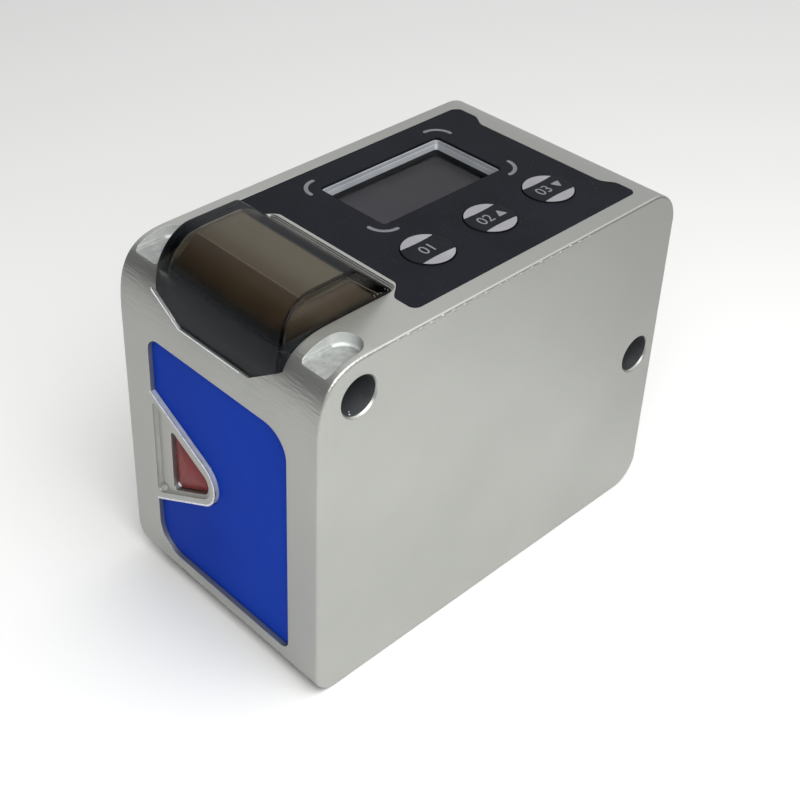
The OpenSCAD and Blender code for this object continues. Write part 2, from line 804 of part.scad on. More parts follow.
// The hood's form from a given height upwards, drawn in by d
module hood_form(foot, d) {
    r = hood_edge_r - d * 0.6;
    fall = nose_h - d;
    rises = [for (a = [0:7.5:90]) hood_top_z - d - fall * (1 - pow(sin(a), 2 / nose_power))];
    hull() {
        for (z = concat([foot, hood_knee_z - d * 0.4], [for (z = rises) if (z > foot) z]))
            along_z(z - 0.002, z) polygon(rounded(
                box_points(-hood_half(z, d), hood_nose(z, d), hood_half(z, d), hood_tail(z, d)),
                [r, r, r, r], 4
            ));
    }
}

// A drafted shell open below, whose front wall reaches down as a chin
module indicator_hood() {
    color("rosybrown")
        difference() {
            hood_form(chin_z, 0);
            hood_form(hood_floor_z - cut, hood_t);
            along_z(chin_z - cut, hood_floor_z)
                polygon(box_points(-hood_w, hood_sink + hood_t, hood_w, hood_l + cut));
            along_y(-1, hood_l)
                difference() {
                    polygon(box_points(-hood_w, chin_z - 1, hood_w, chin_z + chin_h));
                    polygon(chin_outline(0));
                }
        }
}

// Black frame over the bar, with a skirt between the bar and the hood's chin
module indicator_frame() {
    lip = hood_nose(guide_z, hood_t) + seat_gap;
    skirt_back = bar_front - seat_gap;
    color("black") {
        difference() {
            along_z(hood_floor_z, guide_z)
                polygon(box_points(-hood_inner, lip, hood_inner, well_back));
            along_z(hood_floor_z - cut, guide_z + cut)
                polygon(box_points(
                    -indicator_w / 2 + 0.8, bar_back + 0.5, indicator_w / 2 - 0.8, well_back - 0.8
                ));
        }
        along_y(hood_sink + hood_t + seat_gap, skirt_back)
            intersection() {
                polygon(chin_outline(-0.3));
                polygon(box_points(-hood_inner, 0, hood_inner, hood_floor_z));
            }
        along_z(hood_floor_z - frame_t, guide_z)
            polygon(box_points(-hood_inner, lip, hood_inner, skirt_back));
    }
}

module light_guide() {
    color("gainsboro")
        along_x(-indicator_w / 2, indicator_w / 2)
            intersection() {
                polygon(hood_outline(hood_t + 0.4));
                polygon(box_points(0, guide_z, hood_l, guide_z + guide_h));
            }
}

module indicator_board() {
    color("darkgreen")
        difference() {
            along_z(roof_z - indicator_board_t, roof_z)
                polygon(box_points(
                    -indicator_w / 2 - 2.6, bar_back + 0.15, indicator_w / 2 + 2.6, roof_back - 0.15
                ));
            for (p = indicator_screws_xy)
                along_z(roof_z - indicator_board_t - cut, roof_z + cut)
                    translate(p) screw_hole();
        }
}

module indicator_lamps() {
    color("ivory")
        for (i = [-1, 0, 1]) {
            along_z(roof_z, roof_z + lamp_h)
                translate([lamp_pitch * i, lamp_y]) square([lamp_l, lamp_w], center = true);
            along_z(roof_z, roof_z + lamp_h + 0.2)
                translate([lamp_pitch * i, lamp_y]) circle(r = lamp_w * 0.4, $fn = small_fn);
        }
}

module front_window() {
    color("royalblue")
        along_y(window_sink, window_sink + window_t)
            difference() {
                polygon(window_outline(0));
                polygon(notch_outline(seat_gap));
            }
}

module emitter_window() {
    color("brown")
        along_y(notch_floor + lens_sink, notch_floor + lens_sink + lens_t)
            polygon(lens_outline(0));
}

module control_panel() {
    color("darkslategray")
        along_z(body_h - panel_t, body_h)
            difference() {
                polygon(panel_outline(0));
                polygon(screen_points(0.05));
                for (y = button_ys)
                    translate([button_x, y]) circle(r = button_r + slide_gap);
            }
}

module display_glass() {
    color("slategray")
        along_z(glass_z, screen_z) polygon(screen_points(glass_lap));
}

module display_cell() {
    color("dimgray")
        along_z(cell_z, glass_z) polygon(screen_points(glass_lap - 0.15));
}

module display_holder() {
    color("white")
        difference() {
            along_z(panel_board_z, glass_z - 0.3) polygon(screen_points(glass_lap + 0.5));
            along_z(cell_z, glass_z) polygon(screen_points(glass_lap - 0.1));
            along_z(panel_board_z - cut, glass_z) polygon(screen_points(glass_lap - 1.6));
        }
}

// A push button: its cap, the collar that keeps it in and the stem over the switch
module button(i) {
    collar_z = ceiling_z - collar_gap;
    color("gray")
        translate([button_x, front_y + button_ys[i], 0])
            rotate_extrude() polygon([
                [0, panel_board_z + switch_h + button_travel + stem_gap],
                [stem_r, panel_board_z + switch_h + button_travel + stem_gap],
                [stem_r, collar_z - collar_t],
                [button_r + collar_w, collar_z - collar_t],
                [button_r + collar_w, collar_z],
                [button_r, collar_z],
                [button_r, body_h + button_rise - 0.15],
                [button_r - 0.15, body_h + button_rise],
                [0, body_h + button_rise]
            ]);
}

module set_button() {
    button(0);
}

module select_button() {
    button(1);
}

module mode_button() {
    button(2);
}

module panel_board() {
    color("darkgreen")
        difference() {
            along_z(panel_board_z - board_t, panel_board_z)
                polygon(round_box(
                    panel_board_left, panel_board_front, panel_board_right, panel_board_back, 0.8
                ));
            for (p = panel_screws_xy)
                along_z(panel_board_z - board_t - cut, panel_board_z + cut)
                    translate(p) screw_hole();
        }
}

module key_switches() {
    color("silver")
        for (y = button_ys) {
            along_z(panel_board_z, panel_board_z + switch_h * 0.6)
                translate([button_x, y]) square(switch_w, center = true);
            translate([button_x, front_y + y, panel_board_z])
                cylinder(r1 = stem_r + 0.4, r2 = stem_r - 0.1, h = switch_h);
        }
}

module panel_screws() {
    color("gray") {
        for (p = panel_screws_xy)
            translate([p[0], front_y + p[1], panel_board_z - board_t])
                screw(ceiling_z - panel_board_z + board_t - 0.2);
        for (p = indicator_screws_xy)
            translate([p[0], front_y + p[1], roof_z - indicator_board_t])
                screw(hood_floor_z - 0.5 - roof_z + indicator_board_t);
    }
}

// The black body that holds the laser barrel beside the receiver's tapering hood
module optics_block() {
    lens_seat = receiver_t + 0.7;
    color("dimgray")
        difference() {
            union() {
                along_y(block_front, emitter_back)
                    polygon(box_points(block_left, block_foot_z, block_split + 1, block_top_z));
                along_y(block_front, block_back)
                    polygon(box_points(block_split, block_foot_z, block_right, block_top_z));
            }
            turned_back(emitter_x, block_front - cut, axis_up)
                cylinder(r = barrel_r + seat_gap, h = emitter_l + 2 * cut);
            turned_back(receiver_x, block_front - cut, axis_up)
                cylinder(r = receiver_r + seat_gap, h = lens_seat + cut);
            turned_back(receiver_x, block_front + lens_seat - 0.01, axis_up)
                cylinder(r1 = receiver_r - 0.7, r2 = 3, h = receiver_l - lens_seat - 1.8);
            turned_back(receiver_x, block_back - 2, axis_up)
                cylinder(r = 2.7, h = 2 + cut);
            for (p = sensor_screws_xz)
                along_y(block_back - block_screw_l, block_back + cut) translate(p) screw_hole();
            for (p = laser_screws_xz)
                along_y(emitter_back - block_screw_l, emitter_back + cut)
                    translate(p) screw_hole();
        }
}

// A round lens, flat behind, whose front bulges by a share of its thickness
module lens(r, thick, bulge) {
    rotate_extrude() polygon(concat(
        [for (i = [0:8]) [r * i / 8, bulge * (i / 8) ^ 2]],
        [[r, thick], [0, thick]]
    ));
}

module receiver_lens() {
    color("lightsteelblue")
        turned_back(receiver_x, block_front + 0.7, axis_up)
            lens(receiver_r, receiver_t, receiver_t * 0.5);
}

module laser_barrel() {
    color("goldenrod")
        difference() {
            turned_back(emitter_x, block_front + 0.5, axis_up) cylinder(r = barrel_r, h = barrel_l);
            turned_back(emitter_x, block_front, axis_up)
                cylinder(r = collimator_r + seat_gap, h = collimator_y + collimator_t - block_front);
            turned_back(emitter_x, block_front, axis_up) cylinder(r = beam_r, h = barrel_l);
            turned_back(emitter_x, diode_y, axis_up)
                cylinder(r = diode_r + seat_gap, h = diode_in + 1.5);
        }
}

module collimator_lens() {
    color("lightsteelblue")
        turned_back(emitter_x, collimator_y, axis_up)
            lens(collimator_r, collimator_t, collimator_t * 0.35);
}

// The laser diode's can, its flange and its three leads, which reach through the laser board
module laser_diode() {
    color("gold") {
        turned_back(emitter_x, diode_y, axis_up) cylinder(r = diode_can_r, h = diode_can_l + 0.1);
        turned_back(emitter_x, diode_y + diode_can_l, axis_up) cylinder(r = diode_r, h = diode_t);
        for (a = lead_angles)
            turned_back(emitter_x + cos(a), diode_y + diode_can_l + diode_t - 0.1, axis_up + sin(a))
                cylinder(r = lead_r, h = lead_l + 0.1, $fn = small_fn);
    }
}

module laser_board() {
    color("darkgreen")
        difference() {
            along_y(emitter_back, emitter_back + board_t)
                polygon(box_points(block_left, block_foot_z, block_split - 0.5, block_top_z));
            for (p = laser_screws_xz)
                along_y(emitter_back - cut, emitter_back + board_t + cut)
                    translate(p) screw_hole();
            for (a = lead_angles)
                turned_back(emitter_x + cos(a), emitter_back - cut, axis_up + sin(a))
                    cylinder(r = lead_r + seat_gap, h = board_t + 2 * cut, $fn = small_fn);
        }
}

module sensor_board() {
    color("darkgreen")
        difference() {
            along_y(block_back, block_back + board_t)
                polygon(box_points(block_split, block_foot_z, block_right, block_top_z));
            for (p = sensor_screws_xz)
                along_y(block_back - cut, block_back + board_t + cut) translate(p) screw_hole();
        }
}

module image_sensor() {
    color("black")
        along_y(block_back - 0.9, block_back)
            translate([receiver_x, axis_up]) square([3.2, 2.4], center = true);
}

module optics_screws() {
    color("gray") {
        for (p = sensor_screws_xz)
            translate([p[0], front_y + block_back + board_t, p[1]])
                rotate([90, 0, 0]) screw(block_screw_l + board_t - 0.3);
        for (p = laser_screws_xz)
            translate([p[0], front_y + emitter_back + board_t, p[1]])
                rotate([90, 0, 0]) screw(block_screw_l + board_t - 0.3);
    }
}

module main_board() {
    color("darkgreen")
        along_x(main_board_x - board_t, main_board_x)
            difference() {
                polygon(round_box(
                    main_board_front, main_board_foot,
                    main_board_front + main_board_l, main_board_foot + main_board_h, 0.8
                ));
                for (p = main_screws)
                    translate(p) screw_hole();
            }
}

// Pieces soldered to the inner face of the main board, given from its front lower corner
module on_main_board(y, z, height) {
    along_x(main_board_x - board_t - height, main_board_x - board_t)
        translate([main_board_front + y, main_board_foot + z]) children();
}

module processor_chip() {
    color("black")
        on_main_board(main_board_l / 2, main_board_h / 2 + 2, chip_h) square(chip_w, center = true);
}

// The power coil and capacitor above the cable socket, and the plug for the optics at the top
module power_parts() {
    row = socket_up + (socket_w + coil_w) / 2 + 1.5;
    color("dimgray") {
        on_main_board(main_board_l / 2 - coil_w / 2 - 1, row, coil_h) square(coil_w, center = true);
        on_main_board(main_board_l / 2 + capacitor_r + 1, row, capacitor_h)
            circle(r = capacitor_r);
        on_main_board(main_board_l / 2, main_board_h - 4, 1) square([4, 2.4], center = true);
    }
}

module cable_socket() {
    color("white")
        union() {
            on_main_board(main_board_l / 2, socket_up, socket_t)
                square([socket_l, socket_w], center = true);
            on_main_board(main_board_l / 2, socket_up, socket_h)
                difference() {
                    square([socket_l, socket_w], center = true);
                    square([socket_l - 2 * socket_t, socket_w - 2 * socket_t], center = true);
                }
        }
}

module board_screws() {
    color("gray")
        for (p = main_screws)
            translate([main_board_x - board_t, front_y + p[0], p[1]])
                rotate([0, 90, 0]) screw(board_t + spacer_l - 0.2);
}

// The gland in the rear wall, through which the cable leaves
module cable_gland() {
    color("dimgray")
        turned_back(0, body_l, gland_up)
            rotate_extrude() polygon([
                [neck_r - gland_t, -neck_l], [neck_r, -neck_l], [neck_r, 0],
                [flange_r, 0], [flange_r, flange_t - 0.2], [flange_r - 0.2, flange_t],
                [flange_r - 0.8, flange_t], [neck_r, gland_l - 0.3], [neck_r - 0.3, gland_l],
                [cable_r + 0.2, gland_l], [cable_r + 0.2, gland_l - flange_t],
                [neck_r - gland_t, gland_l - flange_t]
            ]);
}

module gland_nut() {
    color("gray")
        turned_back(0, body_l - wall_t - nut_t, gland_up)
            difference() {
                cylinder(r = flange_r, h = nut_t, $fn = 6);
                translate([0, 0, -cut]) cylinder(r = neck_r + seat_gap, h = nut_t + 2 * cut);
            }
}

// The rubber sleeve that grips the cable inside the gland
module gland_seal() {
    color("black")
        turned_back(0, body_l - neck_l, gland_up)
            difference() {
                cylinder(r = neck_r - gland_t - seat_gap, h = neck_l + gland_l - flange_t);
                translate([0, 0, -cut])
                    cylinder(r = cable_r, h = neck_l + gland_l - flange_t + 2 * cut);
            }
}

housing();
side_cover();
cover_seal();
cover_screws();
indicator_hood();
indicator_frame();
light_guide();
indicator_board();
indicator_lamps();
front_window();
emitter_window();
control_panel();
display_glass();
display_cell();
display_holder();
set_button();
select_button();
mode_button();
panel_board();
key_switches();
panel_screws();
optics_block();
receiver_lens();
laser_barrel();
collimator_lens();
laser_diode();
laser_board();
sensor_board();
image_sensor();
optics_screws();
main_board();
processor_chip();
power_parts();
cable_socket();
board_screws();
cable_gland();
gland_nut();
gland_seal();
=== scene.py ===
import math
import bmesh
import bpy
import numpy as np
from mathutils import Matrix, Vector


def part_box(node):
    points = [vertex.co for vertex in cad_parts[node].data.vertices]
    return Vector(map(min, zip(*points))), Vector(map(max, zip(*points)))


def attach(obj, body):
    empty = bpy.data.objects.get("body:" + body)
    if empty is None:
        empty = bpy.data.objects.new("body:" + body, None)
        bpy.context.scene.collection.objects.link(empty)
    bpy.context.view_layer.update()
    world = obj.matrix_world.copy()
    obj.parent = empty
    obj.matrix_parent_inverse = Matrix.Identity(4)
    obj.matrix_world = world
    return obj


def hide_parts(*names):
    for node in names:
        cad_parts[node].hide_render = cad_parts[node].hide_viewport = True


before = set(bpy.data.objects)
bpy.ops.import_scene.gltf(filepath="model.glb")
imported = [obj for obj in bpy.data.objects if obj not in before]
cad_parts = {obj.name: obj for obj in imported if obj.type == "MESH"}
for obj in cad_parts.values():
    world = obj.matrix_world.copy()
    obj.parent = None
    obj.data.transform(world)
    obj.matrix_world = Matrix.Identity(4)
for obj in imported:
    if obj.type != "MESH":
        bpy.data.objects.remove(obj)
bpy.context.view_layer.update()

mm = 0.001
mainBody = "sensor_body"
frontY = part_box("housing")[0].y / mm


# camera, lights and floor

cameraView = {
    "eye": (0.08781, -0.09138, 0.11543), "azimuth": 46.70, "elevation": 34.05, "roll": 1.03,
    "lens": 64.86, "sensor": 36.0, "shiftX": 0.0694, "shiftY": -0.1296, "clip": 0.005,
}

softLights = {
    # name: place in metres, width and height in metres, power in watts, colour
    "backKey": ((0.22, 0.34, 0.62), (0.85, 0.85), 3.1, (1.0, 1.0, 1.0)),
    "nearPool": ((0.085, -0.05, 0.14), (0.15, 0.15), 0.32, (1.0, 1.0, 0.99)),
}

studio = {
    "aim": (0, 0, 0.02), "floorColor": (0.82, 0.82, 0.81), "floorRoughness": 0.7, "floorSize": 2.4,
    "skyDark": (0.045, 0.048, 0.055), "skyBright": (0.90, 0.90, 0.90), "skyToward": (-0.55, 0.65, 0.52),
    "skyFrom": 0.15, "skyTo": 1.0, "glow": (0.12, 0.12, 0.12), "glowHeight": 0.4,
}


def addObject(name, data):
    item = bpy.data.objects.new(name, data)
    bpy.context.scene.collection.objects.link(item)
    return item


def addNode(tree, kind, inputs=None, **settings):
    # a shader node with its settings; each input is set to a value or linked to another node's socket
    node = tree.nodes.new("ShaderNode" + kind)
    for name, value in settings.items():
        setattr(node, name, value)
    for name, value in (inputs or {}).items():
        if isinstance(value, bpy.types.NodeSocket):
            tree.links.new(value, node.inputs[name])
        else:
            node.inputs[name].default_value = value
    return node


def smoothStep(tree, value, start, end):
    # a share that rises smoothly from 0 to 1 between two values
    limits = {"Value": value, "From Min": start, "From Max": end}
    return addNode(tree, "MapRange", limits, interpolation_type="SMOOTHSTEP").outputs[0]


def blended(tree, mask, first, second, blend="MIX"):
    # a colour that goes from the first to the second as the mask rises
    node = addNode(tree, "Mix", data_type="RGBA", blend_type=blend)
    for name, value in {"Factor": mask, "A": first, "B": second}.items():
        if isinstance(value, tuple):
            node.inputs[name].default_value = (*value, 1)
        else:
            tree.links.new(value, node.inputs[name])
    return node.outputs["Result"]


def placeCamera(view):
    a, e, r = (math.radians(view[name]) for name in ("azimuth", "elevation", "roll"))
    back = Vector((math.sin(a) * math.cos(e), -math.cos(a) * math.cos(e), math.sin(e)))
    right = (-back).cross(Vector((0, 0, 1))).normalized()
    up = right.cross(-back)
    right, up = right * math.cos(r) + up * math.sin(r), up * math.cos(r) - right * math.sin(r)
    data = bpy.data.cameras.new("photoCamera")
    data.lens, data.sensor_width, data.clip_start = view["lens"], view["sensor"], view["clip"]
    data.shift_x, data.shift_y = view["shiftX"], view["shiftY"]
    camera = addObject("photoCamera", data)
    turn = Matrix((right, up, back)).transposed().to_4x4()
    camera.matrix_world = Matrix.Translation(Vector(view["eye"])) @ turn
    bpy.context.scene.camera = camera


def placeLight(name, place, size, power, color):
    data = bpy.data.lights.new(name, "AREA")
    data.shape = "RECTANGLE"
    data.size, data.size_y = size
    data.energy, data.color = power, color
    turn = (Vector(studio["aim"]) - Vector(place)).to_track_quat("-Z", "Y").to_matrix().to_4x4()
    addObject(name, data).matrix_world = Matrix.Translation(Vector(place)) @ turn


def buildSky(values):
    # the sky brightens smoothly towards one side and glows low down
    world = bpy.data.worlds.new("paleStudio")
    world.use_nodes = True
    tree = world.node_tree
    view = addNode(tree, "TexCoord").outputs["Generated"]
    toward = Vector(values["skyToward"]).normalized()
    toward = addNode(tree, "VectorMath", {0: view, 1: toward}, operation="DOT_PRODUCT").outputs["Value"]
    ramp = addNode(tree, "ValToRGB", {0: smoothStep(tree, toward, values["skyFrom"], values["skyTo"])})
    for element, name in zip(ramp.color_ramp.elements, ("skyDark", "skyBright")):
        element.color = (*values[name], 1)
    height = addNode(tree, "SeparateXYZ", {0: view}).outputs[2]
    low = smoothStep(tree, height, values["glowHeight"], 0.0)
    color = blended(tree, low, ramp.outputs[0], values["glow"], "LIGHTEN")
    tree.links.new(color, tree.nodes["Background"].inputs["Color"])
    bpy.context.scene.world = world


def buildFloor(values):
    # one pale sheet
    half = values["floorSize"] / 2
    mesh = bpy.data.meshes.new("paleFloor")
    corners = [(-half, -half, 0), (half, -half, 0), (half, half, 0), (-half, half, 0)]
    mesh.from_pydata(corners, [], [(0, 1, 2, 3)])
    material = bpy.data.materials.new("palePaper")
    material.use_nodes = True
    shader = material.node_tree.nodes["Principled BSDF"]
    shader.inputs["Base Color"].default_value = (*values["floorColor"], 1)
    shader.inputs["Roughness"].default_value = values["floorRoughness"]
    mesh.materials.append(material)
    addObject("paleFloor", mesh)


placeCamera(cameraView)
for lightName, lightValues in softLights.items():
    placeLight(lightName, *lightValues)
buildSky(studio)
buildFloor(studio)
bpy.context.scene.view_settings.view_transform = "Standard"
print("camera, lights and floor placed")


# shared shader groups, all on object coordinates

def newGroup(name, **inputs):
    # a group with one input for each value, the sockets that bring them in, and the object coordinates
    group = bpy.data.node_groups.new(name, "ShaderNodeTree")
    for socketName, value in inputs.items():
        kind = "NodeSocketColor" if isinstance(value, tuple) else "NodeSocketFloat"
        group.interface.new_socket(socketName, in_out="INPUT", socket_type=kind).default_value = value
    place = addNode(group, "TexCoord").outputs["Object"]
    return group, group.nodes.new("NodeGroupInput").outputs, place


def giveOut(group, **outputs):
    # the sockets that leave a group
    kinds = {"VALUE": "NodeSocketFloat", "RGBA": "NodeSocketColor", "VECTOR": "NodeSocketVector"}
    for name, socket in outputs.items():
        group.interface.new_socket(name, in_out="OUTPUT", socket_type=kinds[socket.type])
    leave = group.nodes.new("NodeGroupOutput")
    for name, socket in outputs.items():
        group.links.new(socket, leave.inputs[name])
    return group


def worked(tree, operation, *values, clamp=False):
    # the result of an operation on up to three values or sockets
    return addNode(tree, "Math", dict(enumerate(values)), operation=operation, use_clamp=clamp).outputs[0]


def noise(tree, vector, scale, detail=2.0):
    return addNode(tree, "TexNoise", {"Vector": vector, "Scale": scale, "Detail": detail}).outputs["Fac"]


def buildGrain():
    # height of a fine grain over a broader ripple
    group, given, place = newGroup("surfaceGrain", Scale=6000.0, RippleScale=400.0, Ripple=0.3)
    ripple = worked(group, "MULTIPLY", noise(group, place, given["RippleScale"]), given["Ripple"])
    return giveOut(group, Height=worked(group, "ADD", noise(group, place, given["Scale"]), ripple))


def buildMottle():
    # a colour that drifts a little between two tones
    grey = (0.5, 0.5, 0.5, 1)
    group, given, place = newGroup("colorMottle", Color=grey, Tint=grey, Scale=120.0)
    spread = worked(group, "MULTIPLY_ADD", noise(group, place, given["Scale"], 4.0), 2.2, -0.6, clamp=True)
    return giveOut(group, Color=blended(group, spread, given["Color"], given["Tint"]), Mask=spread)


def buildDust():
    # a mask of sparse small specks in loose clumps
    group, given, place = newGroup("dustSpecks", Scale=2500.0, Share=0.25)
    speck = addNode(group, "TexVoronoi", {"Vector": place, "Scale": given["Scale"]}).outputs["Distance"]
    room = worked(group, "MULTIPLY", noise(group, place, 90.0), given["Share"])
    return giveOut(group, Mask=worked(group, "LESS_THAN", speck, room))


def buildEdgeWear():
    # a mask of the sharp edges, where a rounded normal parts from the true one
    group, given = newGroup("edgeWear", Reach=0.0003, Strength=4.0)[:2]
    rounded = addNode(group, "Bevel", {"Radius": given["Reach"]}, samples=6).outputs[0]
    true = addNode(group, "NewGeometry").outputs["Normal"]
    alike = addNode(group, "VectorMath", {0: rounded, 1: true}, operation="DOT_PRODUCT").outputs["Value"]
    apart = worked(group, "SUBTRACT", 1.0, alike)
    mask = worked(group, "MULTIPLY", apart, given["Strength"], clamp=True)
    return giveOut(group, Mask=mask, Normal=rounded)


def buildPlaceFade():
    # a mask that rises from 0 to 1 over Length, from where the size of x times Across, x times Right,
    # y times Deep and z times Up add up to Start, in millimetres
    group, given, place = newGroup("placeFade", Across=0.0, Right=0.0, Deep=0.0, Up=0.0, Start=0.0, Length=1.0)
    x, y, z = addNode(group, "SeparateXYZ", {0: place}).outputs
    along = worked(group, "MULTIPLY", worked(group, "ABSOLUTE", x), given["Across"])
    for coordinate, weight in ((x, "Right"), (y, "Deep"), (z, "Up")):
        along = worked(group, "ADD", along, worked(group, "MULTIPLY", coordinate, given[weight]))
    along = worked(group, "SUBTRACT", worked(group, "MULTIPLY", along, 1 / mm), given["Start"])
    share = worked(group, "DIVIDE", along, given["Length"])
    return giveOut(group, Mask=smoothStep(group, share, 0.0, 1.0))


def buildStreaks():
    # height of long thin lines that run across, a noise drawn out along x
    group, given, place = newGroup("acrossStreaks", Scale=4200.0, Stretch=0.13)
    x, y, z = addNode(group, "SeparateXYZ", {0: place}).outputs
    drawn = addNode(group, "CombineXYZ", {0: worked(group, "MULTIPLY", x, given["Stretch"]), 1: y, 2: z})
    return giveOut(group, Height=noise(group, drawn.outputs[0], given["Scale"]))


grainGroup, mottleGroup, dustGroup = buildGrain(), buildMottle(), buildDust()
wearGroup, fadeGroup, streakGroup = buildEdgeWear(), buildPlaceFade(), buildStreaks()


def placeGroup(tree, group, **values):
    return addNode(tree, "Group", values, node_tree=group).outputs


# materials

def fade(start, length, across=0.0, right=0.0, deep=0.0, up=0.0):
    # where a material changes, as the placeFade group takes it
    return {"Across": across, "Right": right, "Deep": deep, "Up": up, "Start": start, "Length": length}


